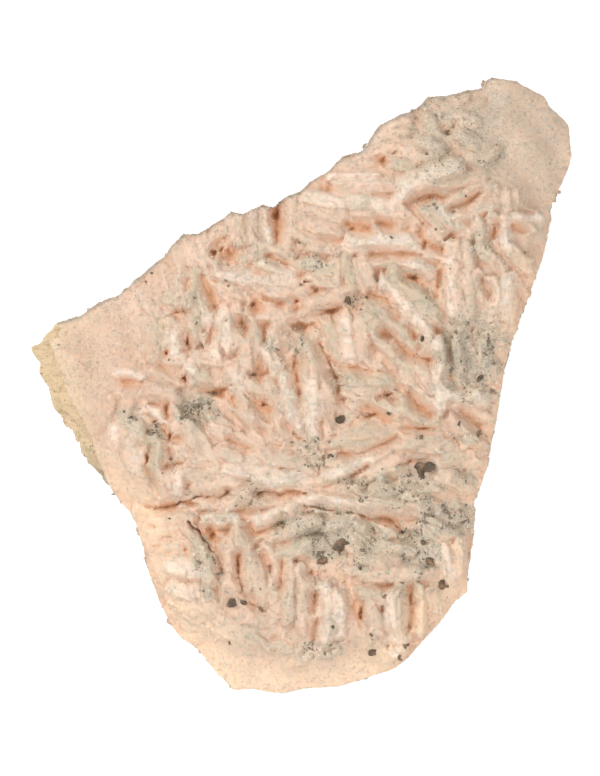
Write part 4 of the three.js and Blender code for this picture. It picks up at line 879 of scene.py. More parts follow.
def carve(points):
    # open the pits and cracks and seat the dark crystals
    x, y, z = points.T
    ceiling = np.full(len(points), farAway)
    base = readGrid(heightGrid, x, y)
    uneven = layeredNoise(points, wobble, 11)
    shape = pitShape
    for index, (px, py, rx, ry, depth) in enumerate(pits):
        u, v = (x - px) / rx, (y - py) / ry
        turns = [index * 1.9 + k * math.tau / 3 for k in range(3)]    # three corners, turned by chance
        corner = np.max([u * math.cos(turn) + v * math.sin(turn) for turn in turns], axis=0)
        radius = shape["round"] * np.hypot(u, v) + shape["corner"] * corner + 0.6 * uneven
        steep = shape["slope"][0] * depth + shape["slope"][1]
        rise = steep * np.clip(radius / 1.5, 0, None) ** shape["power"]
        ceiling = np.minimum(ceiling, base + shape["lip"] - shape["sink"] * depth + rise)
    shape = crackShape
    for line in cracks:
        gap = distanceToLine(x, y, line) / shape["width"] + uneven
        rise = shape["slope"] * np.clip(gap, 0, None) ** shape["power"]
        ceiling = np.minimum(ceiling, base + shape["lip"] - shape["sink"] * shape["depth"] + rise)
    shape = cleftShape
    for width, depth, _, course in clefts:
        near = nearCourse(x, y, course)
        gap, place = alongCourse(x[near], y[near], course)
        gap = gap + shape["uneven"] * uneven[near] - shape["floor"] * courseWidth(width, place)
        rise = shape["slope"] * np.clip(gap, 0, None)
        ceiling[near] = np.minimum(ceiling[near], base[near] + shape["lip"] - shape["sink"] * depth + rise)
    shape = pocketShape
    for sx, sy, length, width, _ in sphalerites:
        radius = np.hypot(x - sx, y - sy) / (0.5 * max(length, width)) + uneven * shape["uneven"]
        rise = shape["slope"] * np.clip(radius - shape["size"], 0, None)
        ceiling = np.minimum(ceiling, base + shape["lip"] * width + rise)
    points[:, 2] = np.where(z > slab["seat"] + 1, np.minimum(z, ceiling), z)
    return points


def blurred(grid, weight, radius):
    reach = int(3 * radius / gridStep)
    steps = np.arange(-reach, reach + 1) * gridStep
    kernel = np.exp(-(steps / radius) ** 2 / 2)
    kernel /= kernel.sum()

    def smooth(values):
        for axis in (0, 1):
            values = np.apply_along_axis(np.convolve, axis, values, kernel, "same")
        return values

    return smooth(grid * weight) / np.maximum(smooth(weight), 1e-3)


def topSurface(points):
    grid = np.full(meshX.shape, -1.0)
    np.maximum.at(grid, gridCells(points), points[:, 2])
    known = grid > 0
    filled = blurred(grid, known.astype(float), 0.8)
    return np.where(known, grid, np.where(rimInside, filled, slab["seat"] + 3))


def withoutRidges(grid, reach):
    # the surface with ridges narrower than twice the reach taken off
    around = range(-int(reach / gridStep), int(reach / gridStep) + 1)
    steps = [step for step in itertools.product(around, repeat=2) if math.hypot(*step) * gridStep <= reach]
    low = np.min([np.roll(grid, step, (0, 1)) for step in steps], axis=0)
    return np.max([np.roll(low, step, (0, 1)) for step in steps], axis=0)


crustLook = {
    "voxel": 0.25, "soften": 2, "triangles": 190000,
    "ridge": 0.85, "ridgeLeft": 0.1,              # ridges thinner than twice this are taken off
    "facets": (3.4, 1.3, 1.9), "facetTilt": 0.165,    # small crystals along the blades
    "grains": (0.8, 0.55, 0.6), "grainTilt": 0.11,    # and finer ones everywhere
    "plain": 0.85, "side": 2.5,                   # fewer facets on the smooth areas, more on the broken side
}


def buildCrust():
    rng = random.Random(5)
    shape = Shape()
    for blade in blades:
        ax, ay, bx, by, width, stand = blade
        rise = stand + slab["bladeExtra"] + rng.uniform(-0.5, 0.5)
        low = rise * (slab["lowEnd"] + rng.uniform(-0.15, 0.25))
        wide = width * bladeLook["spread"]
        slope = rng.uniform(-0.19, 0.19)
        addBlade(shape, rng, ax, ay, bx, by, wide * 0.96, rise - 0.05, low - 0.05,
                 slab["bladeRoot"], slab["flank"], 0, slope)
        addChain(shape, rng, ax, ay, bx, by, wide, rise, low, slope)
        addSlivers(shape, rng, blade)
    addFillers(shape, rng)
    shape.add(*fieldBlock(1.0))
    crust = meshObject("crust", shape.points, shape.faces)
    print("blades laid out:", len(shape.faces), "faces")
    fuse(crust, crustLook["voxel"])
    points = readVectors(crust.data, "co")
    print("crust fused:", len(points), "points")
    points = carve(points)
    limit = blurred(withoutRidges(topSurface(points), crustLook["ridge"]), np.ones(meshX.shape), 0.3)
    limit = readGrid(limit, points[:, 0], points[:, 1]) + crustLook["ridgeLeft"]
    points[:, 2] = np.where(points[:, 2] > slab["seat"] + 2, np.minimum(points[:, 2], limit), points[:, 2])
    writePoints(crust.data, points)
    soften = crust.modifiers.new("soften", "SMOOTH")
    soften.factor, soften.iterations = 0.5, crustLook["soften"]
    applyModifiers(crust)
    low = slab["seat"] - wallLook["overlap"]
    levels = [(low, 0.984), (slab["seat"] + 4, 0.996), (slab["rimHeight"] + 1.5, 1.0),
              (slab["rimHeight"] + 14, 0.985)]
    wall = meshObject("wall", *wallSolid(rimPoints, levels, 31))
    cut = crust.modifiers.new("cut", "BOOLEAN")
    cut.operation = "INTERSECT"
    cut.solver = "MANIFOLD"
    cut.object = wall
    applyModifiers(crust)
    bpy.data.objects.remove(wall)
    print("crust cut to its edge:", len(crust.data.polygons), "faces")
    points, normals = readVectors(crust.data, "co"), readVectors(crust.data, "normal")
    x, y, z = points.T
    upright = fadeOut(0.25, 0.7, normals[:, 2])
    turn = turnGrid[gridCells(points)] * (1 - upright)
    plain = 1 - crustLook["plain"] * readGrid(smoothGrid, x, y) * (1 - upright)
    side = upright * fadeOut(slab["rimHeight"] - 4.5, slab["rimHeight"] - 2, z)
    shift = facetShift(points, turn, crustLook["facets"], crustLook["facetTilt"], 21)
    shift = shift * plain * (1 - 0.5 * upright + crustLook["side"] * side)
    shift += facetShift(points, turn, crustLook["grains"], crustLook["grainTilt"], 31)
    shift[z < low + 0.05] = 0
    writePoints(crust.data, points + normals * shift[:, None])
    thinOut(crust, crustLook["triangles"])
    writePoints(crust.data, readVectors(crust.data, "co") * mm)
    crust.data.calc_loop_triangles()
    print("crust thinned:", len(crust.data.loop_triangles), "triangles")
    return crust


crust = buildCrust()


# Fields read off the finished crust: its top surface, and how closed in each spot is
def enclosure(top):
    # mean of the steepest rise seen in eight directions
    total = np.zeros(top.shape)
    for turn in range(8):
        dx, dy = math.cos(turn * math.pi / 4), math.sin(turn * math.pi / 4)
        steepest = np.zeros(top.shape)
        for reach in (1, 2, 3, 5, 8):
            step = (round(dx * reach), round(dy * reach))
            run = gridStep * math.hypot(*step)
            steepest = np.maximum(steepest, (np.roll(top, step, (0, 1)) - top) / run)
        total += np.arctan(steepest) / (math.pi / 2)
    return total / 8


crustPoints = readVectors(crust.data, "co") / mm
topGrid = topSurface(crustPoints)
weight = rimInside.astype(float)
nearGrid = blurred(topGrid, weight, 1.4)
wideGrid = blurred(topGrid, weight, 4.0)
closedGrid = enclosure(topGrid)


def spotMask(x, y, name):
    mask = np.zeros(len(x))
    for sx, sy in looks[name]:
        blade = min(blades, key=lambda b: (b[0] + b[2] - 2 * sx) ** 2 + (b[1] + b[3] - 2 * sy) ** 2)
        ax, ay, bx, by, width, _ = blade
        near = nearBlade(x, y, blade, 3)
        gap = distanceToLine(x[near], y[near], [(ax, ay), (bx, by)]) / (0.6 * width)
        mask[near] = np.maximum(mask[near], np.exp(-gap ** 2.4))
    return mask


def patchMask(x, y):
    mask = np.zeros(len(x))
    ragged = layeredNoise(flatPoints(x, y), ((0.55, 1.6), (0.3, 0.7)), 41)
    for sx, sy, rx, ry, strength in speckPatches:
        gap = np.hypot((x - sx) / rx, (y - sy) / ry)
        mask = np.maximum(mask, strength * fadeOut(0.75, 1.35, gap + ragged - 0.3))
    return mask


def cleftShadeMask(x, y):
    # painted shade along the clefts and in the pockets round the sphalerite
    mask = np.zeros(len(x))
    for width, _, dark, course in clefts:
        near = nearCourse(x, y, course)
        gap, place = alongCourse(x[near], y[near], course)
        gap = gap - 0.4 * courseWidth(width, place)
        tone = dark * (0.6 + 0.4 * float(smoothStep(0.9, 1.6, width)))    # the narrow ones get paler painted shade
        mask[near] = np.maximum(mask[near], tone * fadeOut(0.0, 1.3, gap))
    for sx, sy, length, width, _ in sphalerites:
        gap = np.hypot(x - sx, y - sy) - 0.25 * (length + width)
        mask = np.maximum(mask, 0.2 * width * fadeOut(0.2, 1.4, gap))
    return mask


def crackShadeMask(x, y):
    # painted shade along the open cracks, fading in and out
    mask = np.zeros(len(x))
    flat = flatPoints(x, y)
    ragged = 0.22 * hashNoise(flat, 0.9, 45)
    broken = np.clip(0.62 + 1.3 * hashNoise(flat, 2.6, 46), 0.12, 1)    # the line fades in and out
    for line, tone in zip(cracks, crackShape["tones"]):
        mask = np.maximum(mask, tone * fadeOut(*crackShape["dark"], distanceToLine(x, y, line) + ragged))
    return mask * broken


def bladeTone(x, y):
    # a value for each blade, read where its top is the highest, and 0.5 between them
    tone = np.full(len(x), 0.5)
    highest = np.full(len(x), -farAway)
    rng = random.Random(9)
    for blade in blades:
        ax, ay, bx, by, width, stand = blade
        own = rng.random()
        near = nearBlade(x, y, blade, 4)
        gap, place = alongCourse(x[near], y[near], [(ax, ay), (bx, by)])
        top = stand * (1 + (slab["lowEnd"] - 1) * place) - 0.4 * np.clip(gap - 0.3 * width, 0, None)
        wins = (gap < 0.6 * width * bladeLook["spread"] + 0.1) & (top > highest[near])
        tone[near] = np.where(wins, own, tone[near])
        highest[near] = np.where(wins, top, highest[near])
    return tone


# Where the cream fringe, the tan area and the bare rock band lie: from and to, along x or y
zones = {
    "fringe": (2, 10), "fringeWest": (-25, 2), "fringeEast": (20, 35), "fringeNorth": (16, 36),
    "tanEast": (16, 34), "tanNorth": (0, 26), "smoothWest": (-34, -20),
    "band": (0.2, 4.6), "bandWest": (-46, -35), "bandLow": (9, 6),
}


def paint(thing, points, normals):
    # what the shaders read at each vertex, besides the place itself
    x, y, z = points.T
    below, wide = (readGrid(grid, x, y) - z for grid in (nearGrid, wideGrid))
    up, edge, smooth = normals[:, 2], readGrid(signedGrid, x, y), readGrid(smoothGrid, x, y)
    outEast, outNorth = readGrid(outX, x, y), readGrid(outY, x, y)
    ragged = hashNoise(flatPoints(x, y), 2.2, 44)
    # painted shade in the recesses: how far each spot lies below the blurred surface
    recessShade = 0.55 * smoothStep(-0.2, 2.2, below) + 0.45 * smoothStep(-0.3, 2.6, wide)
    # a paler fringe near the edge, stronger where the edge faces south and west: partly the crust's own paler
    # colour, partly painted light
    fringe = fadeOut(*zones["fringe"], edge + ragged) * np.clip(0.6 - 0.8 * outNorth - 0.25 * outEast, 0.1, 1)
    west = fadeOut(*zones["fringeWest"], y)
    east = smoothStep(*zones["fringeEast"], x) * fadeOut(*zones["fringeNorth"], y)
    band = fadeOut(*zones["band"], readGrid(rimGrid, x, y) + 1.2 * ragged) * fadeOut(*zones["bandWest"], x)
    # edges facing north and west, which get the painted shadow line
    edgeShadowSide = np.clip(0.85 * outNorth - 0.5 * outEast, 0, 1)
    values = {
        # painted shade, tinted orange, in the recesses and where the surface is closed in
        "recessShade": 0.6 * recessShade + 0.5 * smoothStep(0.25, 0.6, readGrid(closedGrid, x, y)),
        # painted shade in the clefts, only where the surface lies low
        "cleftShade": cleftShadeMask(x, y) * smoothStep(0.3, 1.7, below),
        # painted shade in the cracks, only where the surface lies low
        "crackShade": crackShadeMask(x, y) * smoothStep(-0.4, 0.5, below),
        "crest": smoothStep(-1.0, 0.8, -wide) * smoothStep(0.4, 0.9, up),
        "bright": spotMask(x, y, "bright"),
        "coated": spotMask(x, y, "coated"),
        "clean": spotMask(x, y, "clean"),
        "film": patchMask(x, y),
        "rim": fringe * np.maximum(west, east),
        "tone": bladeTone(x, y),
        "wall": fadeOut(0.1, 0.55, np.abs(up)) * fadeOut(0.4, 1.6, edge),
        # darker low on the crust, near where it sits on the rock
        "footDark": fadeOut(0.2, 2.6, z - slab["seat"] + 0.9 * ragged),
        # painted shadow line along the top of the north-west edges
        "edgeShadow": smoothStep(0.1, 0.4, up) * fadeOut(0.2, 1.1, edge) * edgeShadowSide,
        "tan": smooth * smoothStep(*zones["tanEast"], x) * smoothStep(*zones["tanNorth"], y),
        "band": band * smoothStep(*(slab["seat"] - depth for depth in zones["bandLow"]), z),
        "smooth": smooth * fadeOut(*zones["smoothWest"], x),
    }
    for name, value in values.items():
        writeValues(thing, name, np.clip(value, 0, 1))


crustNormals = readVectors(crust.data, "normal")
paint(crust, crustPoints, crustNormals)
print("crust painted")

# The fine coat of tiny crystals on the crust
druseLook = {
    "count": 15500,           # in each of the meshes
    "meshes": 3,
    "size": (0.14, 0.42),     # smallest and largest, millimetres across
    "wide": (0.75, 1.5), "thick": (0.45, 0.8),    # in sizes
    "sunk": 0.5,              # how far their centres lie under the surface, in sizes
    "stray": (0.4, 0.16),     # how far they lean with their neighbours, and each on its own
    "glints": 0.07,           # share of them that carry a painted glint
}


def unitVectors(values):
    return values / np.maximum(np.linalg.norm(values, axis=1), 1e-6)[:, None]


def buildDruse(name, seed):
    rng = np.random.default_rng(seed)
    crust.data.calc_loop_triangles()
    corners = np.zeros(len(crust.data.loop_triangles) * 3, np.int32)
    crust.data.loop_triangles.foreach_get("vertices", corners)
    corners = corners.reshape(-1, 3)
    a, b, c = (crustPoints[corners[:, k]] for k in range(3))
    cross = np.cross(b - a, c - a)
    area = np.linalg.norm(cross, axis=1) / 2
    up = cross[:, 2] / np.maximum(2 * area, 1e-9)
    middle = (a + b + c) / 3
    share = area * np.clip(up + 0.25, 0, 1) * (1 + 0.9 * hashNoise(middle, 3.0, seed))
    share *= 1 - 0.6 * cleftShadeMask(middle[:, 0], middle[:, 1])
    count = druseLook["count"]
    pick = rng.choice(len(area), count, p=share / share.sum())
    u, v = rng.random(count), rng.random(count)
    flip = u + v > 1
    u[flip], v[flip] = 1 - u[flip], 1 - v[flip]
    centre = a[pick] + (b[pick] - a[pick]) * u[:, None] + (c[pick] - a[pick]) * v[:, None]
    normal = unitVectors(cross[pick])
    # neighbours lie nearly parallel, as they do when they grow on one blade
    together, alone = druseLook["stray"]
    drift = np.stack([hashNoise(centre, 4.0, seed + k) for k in range(3)], 1)
    drift = drift + rng.normal(0, alone, (count, 3))
    e3 = unitVectors(normal + together * drift)
    other = np.stack([hashNoise(centre, 5.0, seed + 7 + k) for k in range(3)], 1) + np.array([0.3, 0.1, 0])
    e1 = unitVectors(np.cross(e3, other))
    e2 = np.cross(e3, e1)
    small, large = druseLook["size"]
    size = small + (large - small) * rng.random(count) ** 2.2
    wide = size * rng.uniform(*druseLook["wide"], count)
    thick = size * rng.uniform(*druseLook["thick"], count)
    centre = centre - normal * (druseLook["sunk"] * thick)[:, None]
    points = np.zeros((count, 8, 3))
    for k in range(8):
        s = [(k >> axis & 1) - 0.5 for axis in range(3)]
        points[:, k] = (centre + e1 * (wide * (s[0] + 0.28 * s[1] + 0.2 * s[2]))[:, None]
                        + e2 * (size * (s[1] + 0.2 * s[2]))[:, None] + e3 * (thick * s[2])[:, None])
    sides = np.array([(0, 2, 3, 1), (4, 5, 7, 6), (0, 1, 5, 4), (2, 6, 7, 3), (0, 4, 6, 2), (1, 3, 7, 5)])
    faces = (sides[None] + 8 * np.arange(count)[:, None, None]).reshape(-1, 4)
    thing = meshObject(name, points.reshape(-1, 3) * mm, faces.tolist())
    writeValues(thing, "glint", np.repeat(rng.random(count) < druseLook["glints"], 8))
    for layer in crust.data.attributes:
        if layer.domain == "POINT" and layer.data_type == "FLOAT":
            values = np.zeros(len(crustPoints), np.float32)
            layer.data.foreach_get("value", values)
            writeValues(thing, layer.name, np.repeat(values[corners[pick, 0]], 8))
    return thing


druse = []
druse = [buildDruse("druse_" + "abc"[k], 60 + k) for k in range(druseLook["meshes"])]
print("druse grown:", len(druse), "meshes")

# The rock under the crust
rockLook = {
    "voxel": 0.5, "triangles": 104000,
    "bites": ((0.5, 5.0), (0.35, 2.1), (0.2, 0.9)), "inward": 0.35,    # height and size of each roughness
    "facets": (4.5, 3.5, 2.4), "facetTilt": 0.22,
    "foot": (0.25, 0.5, 0.7),     # the uneven underside: height, roughness and how far up it reaches
}


def buildRock():
    node = bpy.data.objects["matrix"]
    rock = bpy.data.objects.new("matrix_rock", node.data.copy())
    bpy.context.scene.collection.objects.link(rock)
    rock.data.transform(node.matrix_world)
    rock.data.transform(Matrix.Scale(1 / mm, 4))
    rock.data.materials.clear()
    fuse(rock, rockLook["voxel"])
    points, normals = readVectors(rock.data, "co"), readVectors(rock.data, "normal")
    free = smoothStep(0.0, 2.0, points[:, 2])
    bite = layeredNoise(points, rockLook["bites"], 51) - rockLook["inward"]
    sideways = normals * (1, 1, 0.3)
    facets = facetShift(points, np.zeros(len(points)), rockLook["facets"], rockLook["facetTilt"], 55)
    points += sideways * (free * (bite + facets))[:, None]
    height, rough, top = rockLook["foot"]
    under = points[:, 2] < top
    points[under, 2] = np.clip(height + rough * hashNoise(points[under], 1.4, 54), 0, top)
    writePoints(rock.data, points * mm)
    thinOut(rock, rockLook["triangles"])
    return rock


rock = buildRock()
rockPoints = readVectors(rock.data, "co") / mm
paint(rock, rockPoints, readVectors(rock.data, "normal"))
print("rock built:", len(rockPoints), "points")

# Dark sphalerite: crystals that replace the solids, blobs too small to be solids, and specks
crystalLook = {
    "shares": (0.82, 0.66, 0.55, 0.45, 0.4),      # sizes of the crystals that make up one cluster
    "planes": 8, "voxel": 0.105,
    "steps": 0.05, "uneven": 0.05,                # growth steps and roughness of their faces
}
blobs = [
    (-7.5, -44.3, 0.9), (14.4, -49.3, 0.9), (12.3, -36.5, 0.7), (17.1, -41.8, 0.8), (6.8, -47.8, 0.9),
    (-19.2, 8, 0.8), (-9, 2.1, 0.7), (15.4, 21, 0.7), (13.4, 17.7, 0.7), (9.4, 17, 1.3), (18.3, 29.3, 0.8),
    (24.6, 9.4, 1.0), (24.3, -10.4, 1.0), (18, -5.5, 1.0), (6.1, -13.8, 1.2), (31.9, -7.7, 0.8),
    (35.7, -9.7, 0.9), (24.7, -31, 1.2), (36, 1.6, 1.2), (20.7, -29.2, 0.8), (25.3, 46, 0.7),
    (21.2, -51.8, 1.0), (20.2, -54.2, 0.9), (-34.8, -5.2, 0.5), (-33.3, -6.5, 0.6), (-32.3, -6.9, 0.5),
    (-28.4, -8, 0.7), (-28.8, -9.4, 0.5), (-27.2, -17.4, 0.5), (-25.4, -14.7, 0.5), (-25.8, -26.5, 0.5),
    (-20.5, 12.3, 0.5), (-14, 19.8, 0.5), (-29.5, 22.4, 0.5), (-30.6, 20.8, 0.5), (-13.9, -51.2, 0.6),
    (45, 26.5, 0.5), (33, 37.7, 0.5), (26.7, -26, 0.6), (0.0, 28.4, 0.5), (29.5, 50.0, 0.9),
]
speckLook = {
    "count": 1400, "size": (0.2, 0.8),
    "tip": (37, 42), "tipCount": 0.4, "tipSize": 0.6,    # fewer and smaller north of this
    "loose": 0.006, "planes": 6,                  # a few lie outside the patches
}


def clippedCrystal(rng, planes, sizes, roundness=2):
    # a ball cut by flat faces, scaled to the sizes
    mesh = bmesh.new()
    bmesh.ops.create_icosphere(mesh, subdivisions=roundness, radius=1.0)
    for _ in range(planes):
        direction = Vector((rng.gauss(0, 1), rng.gauss(0, 1), rng.gauss(0, 1))).normalized()
        cut = bmesh.ops.bisect_plane(mesh, geom=mesh.verts[:] + mesh.edges[:] + mesh.faces[:], dist=1e-6,
                                     plane_co=direction * rng.uniform(0.45, 0.75), plane_no=direction,
                                     clear_outer=True)
        edges = [e for e in cut["geom_cut"] if isinstance(e, bmesh.types.BMEdge)]
        bmesh.ops.contextual_create(mesh, geom=edges)
    bmesh.ops.triangulate(mesh, faces=mesh.faces[:])
    mesh.verts.index_update()
    points = np.array([tuple(v.co) for v in mesh.verts])
    faces = [tuple(v.index for v in face.verts) for face in mesh.faces]
    mesh.free()
    low, high = points.min(axis=0), points.max(axis=0)
    return (points - (low + high) / 2) / (high - low) * np.array(sizes), faces


def turnedZ(points, angle):
    c, s = math.cos(angle), math.sin(angle)
    x, y, z = points.T
    return np.column_stack([x * c - y * s, x * s + y * c, z])


def buildCrystal(index):
    rng = random.Random(300 + index)
    node = "sphalerite_" + str(index + 1)
    low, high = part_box(node)
    middle = [(low[k] + high[k]) / 2 / mm for k in range(3)]
    _, _, length, width, turn = sphalerites[index]
    sizes = np.array([length, width, (high[2] - low[2]) / mm])
    shape = Shape()
    for share in crystalLook["shares"]:
        points, faces = clippedCrystal(rng, crystalLook["planes"], sizes * share)
        shift = np.array([rng.uniform(-0.5, 0.5), rng.uniform(-0.5, 0.5), rng.uniform(-0.2, 0.4)]) * sizes
        points = turnedZ(points, rng.uniform(0, 0.8)) + shift * (1 - share) * 2.2
        shape.add(turnedZ(points, math.radians(turn)) + np.array(middle), faces)
    crystal = meshObject("sphalerite_crystal_" + str(index + 1), shape.points, shape.faces)
    fuse(crystal, crystalLook["voxel"])
    points, normals = readVectors(crystal.data, "co"), readVectors(crystal.data, "normal")
    level = points @ np.array([0.3, 0.5, 0.8])
    step = crystalLook["steps"] * (np.round(level * 2.2 + hashNoise(points, 0.8, 70 + index)) % 2)
    step += crystalLook["uneven"] * hashNoise(points, 0.5, 90 + index)
    writePoints(crystal.data, (points - normals * step[:, None]) * mm)
    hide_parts(node)
    return crystal


crystals = [buildCrystal(k) for k in range(len(sphalerites))]


def buildBlobs():
    rng = random.Random(17)
    shape = Shape()
    for x, y, size in blobs:
        z = float(readGrid(topGrid, x, y))
        for _ in range(3):
            sizes = [size * rng.uniform(0.5, 0.95) for _ in range(3)]
            points, faces = clippedCrystal(rng, crystalLook["planes"], sizes)
            points = turnedZ(points, rng.uniform(0, 6.3))
            dx, dy, dz = rng.gauss(0, 0.2) * size, rng.gauss(0, 0.2) * size, rng.gauss(0, 0.1) * size
            shape.add(points + np.array([x + dx, y + dy, z - 0.06 * size + dz]), faces)
    return meshObject("sphalerite_small", np.array(shape.points) * mm, shape.faces)


def buildSpecks():
    rng = random.Random(23)
    points = crustPoints
    mask = patchMask(points[:, 0], points[:, 1]) + speckLook["loose"]
    mask *= smoothStep(0.5, 1.2, readGrid(rimGrid, points[:, 0], points[:, 1]))
    atTip = smoothStep(*speckLook["tip"], points[:, 1])
    mask *= 1 - (1 - speckLook["tipCount"]) * atTip
    mask *= np.clip(crustNormals[:, 2], 0, 1) * (0.03 + np.clip(hashNoise(points, 1.6, 43) * 3.2 - 0.5, 0, 1))
    draw = np.random.default_rng(29)
    picks = draw.choice(len(points), speckLook["count"], replace=False, p=mask / mask.sum())
    base, faces = clippedCrystal(rng, speckLook["planes"], (1, 1, 1), 1)
    shape = Shape()
    small, large = speckLook["size"]
    for pick in picks:
        size = small + (large - small) * rng.random() ** 3
        size *= 1 - (1 - speckLook["tipSize"]) * float(atTip[pick])
        sizes = np.array([rng.uniform(0.5, 1.6), rng.uniform(0.6, 1.1), rng.uniform(0.5, 0.9)])
        turned = turnedZ(base * sizes, rng.uniform(0, 6.3))
        shape.add(turned * size + (points[pick] - crustNormals[pick] * 0.03 * size), faces)
    return meshObject("dark_specks", np.array(shape.points) * mm, shape.faces)


smallBlobs = buildBlobs()
specks = buildSpecks()
writeValues(specks, "pale", np.ones(len(specks.data.vertices)))
print("sphalerite built:", len(smallBlobs.data.polygons), "and", len(specks.data.polygons), "faces")


# Materials
def nodeGroup(name, inputs, outputs):
    group = bpy.data.node_groups.new(name, "ShaderNodeTree")
    for label, kind, value in inputs:
        socket = group.interface.new_socket(label, in_out="INPUT", socket_type=kind)
        if value is not None:
            socket.default_value = value
    for label, kind in outputs:
        group.interface.new_socket(label, in_out="OUTPUT", socket_type=kind)
    return group, group.nodes.new("NodeGroupInput"), group.nodes.new("NodeGroupOutput")


def plug(tree, value, socket):
    # a socket is linked, anything else is set as its value
    if isinstance(value, bpy.types.NodeSocket):
        tree.links.new(value, socket)
    else:
        socket.default_value = value


def addMath(tree, operation, *values):
    node = tree.nodes.new("ShaderNodeMath")
    node.operation = operation
    for k, value in enumerate(values):
        plug(tree, value, node.inputs[k])
    return node.outputs[0]


def times(tree, first, second):
    return addMath(tree, "MULTIPLY", first, second)


def plus(tree, first, second):
    return addMath(tree, "ADD", first, second)


def addRange(tree, value, low, high, outLow=0.0, outHigh=1.0):
    node = tree.nodes.new("ShaderNodeMapRange")
    node.interpolation_type = "SMOOTHSTEP"
    for k, item in enumerate((value, low, high, outLow, outHigh)):
        plug(tree, item, node.inputs[k])
    return node.outputs[0]


def addNoise(tree, place, scale, detail=3.0, rough=0.55):
    node = tree.nodes.new("ShaderNodeTexNoise")
    plug(tree, place, node.inputs["Vector"])
    plug(tree, scale, node.inputs["Scale"])
    node.inputs["Detail"].default_value = detail
    node.inputs["Roughness"].default_value = rough
    return node.outputs["Fac"]


def addSpots(tree, place, scale):
    node = tree.nodes.new("ShaderNodeTexVoronoi")
    plug(tree, place, node.inputs["Vector"])
    plug(tree, scale, node.inputs["Scale"])
    return node.outputs["Distance"], node.outputs["Color"]


def makeGrainGroup():
    # frosted, sugary surface: a height for bumps and a mottle for colours
    inputs = [("Vector", "NodeSocketVector", None), ("Scale", "NodeSocketFloat", 1.0)]
    outputs = [("Height", "NodeSocketFloat"), ("Mottle", "NodeSocketFloat")]
    group, start, end = nodeGroup("Sugary grain", inputs, outputs)
    place, scale = start.outputs["Vector"], start.outputs["Scale"]
    coarse = addNoise(group, place, times(group, scale, 900.0), 3.0, 0.6)
    fine, _ = addSpots(group, place, times(group, scale, 2600.0))
    height = plus(group, times(group, coarse, 0.7), times(group, fine, 0.5))
    mottle = addNoise(group, place, times(group, scale, 420.0), 4.0, 0.65)
    group.links.new(height, end.inputs["Height"])
    group.links.new(mottle, end.inputs["Mottle"])
    return group


def makeSpeckleGroup():
    # scattered points, as many as the amount says
    inputs = [("Vector", "NodeSocketVector", None), ("Amount", "NodeSocketFloat", 0.3)]
    group, start, end = nodeGroup("Dark speckle", inputs, [("Mask", "NodeSocketFloat")])
    distance, colour = addSpots(group, start.outputs["Vector"], 2300.0)
    split = group.nodes.new("ShaderNodeSeparateColor")
    group.links.new(colour, split.inputs[0])
    chosen = addMath(group, "SUBTRACT", plus(group, split.outputs[0], start.outputs["Amount"]), 1.0)
    dot = addRange(group, distance, 0.42, 0.26)
    group.links.new(times(group, addRange(group, chosen, 0.0, 0.06), dot), end.inputs["Mask"])
    return group


grainGroup = makeGrainGroup()
speckleGroup = makeSpeckleGroup()


class Coats:
    # a material whose colours are laid over one another, each by a mask
    def __init__(self, name, look):
        self.look = look
        self.material = bpy.data.materials.new(name)
        self.material.use_nodes = True
        self.tree = self.material.node_tree
        self.shader = self.tree.nodes["Principled BSDF"]
        self.place = self.tree.nodes.new("ShaderNodeTexCoord").outputs["Object"]
        self.grain = self.use(grainGroup, Vector=self.place, Scale=look["grain"])
        self.mottle = self.grain["Mottle"]
        self.colour = None

    def use(self, group, **inputs):
        node = self.tree.nodes.new("ShaderNodeGroup")
        node.node_tree = group
        for name, value in inputs.items():
            plug(self.tree, value, node.inputs[name])
        return node.outputs

    def times(self, first, second):
        return times(self.tree, first, second)

    def range(self, value, *ends):
        return addRange(self.tree, value, *ends)

    def noise(self, scale, detail, rough, *ends):
        return addRange(self.tree, addNoise(self.tree, self.place, scale, detail, rough), *ends)

    def mask(self, name, share=None):
        # what was painted at the vertices
        node = self.tree.nodes.new("ShaderNodeAttribute")
        node.attribute_name = name
        return node.outputs["Fac"] if share is None else times(self.tree, node.outputs["Fac"], share)

    def speckle(self, amount, place=None):
        return self.use(speckleGroup, Vector=self.place if place is None else place, Amount=amount)["Mask"]

    def mix(self, factor, first, second):
        node = self.tree.nodes.new("ShaderNodeMix")
        node.data_type = "RGBA"
        plug(self.tree, factor, node.inputs[0])
        for colour, socket in ((first, node.inputs[6]), (second, node.inputs[7])):
            plug(self.tree, (*self.look[colour], 1) if isinstance(colour, str) else colour, socket)
        return node.outputs[2]

    def lay(self, *coats):
        for factor, colour in coats:
            self.colour = self.mix(factor, self.colour, colour)

    def finish(self):
        strength, distance = self.look["bump"]
        bump = self.tree.nodes.new("ShaderNodeBump")
        bump.inputs["Strength"].default_value = strength
        bump.inputs["Distance"].default_value = distance
        self.tree.links.new(self.grain["Height"], bump.inputs["Height"])
        self.tree.links.new(bump.outputs[0], self.shader.inputs["Normal"])
        self.tree.links.new(self.colour, self.shader.inputs["Base Color"])
        self.shader.inputs["Roughness"].default_value = self.look["roughness"]
        return self.material


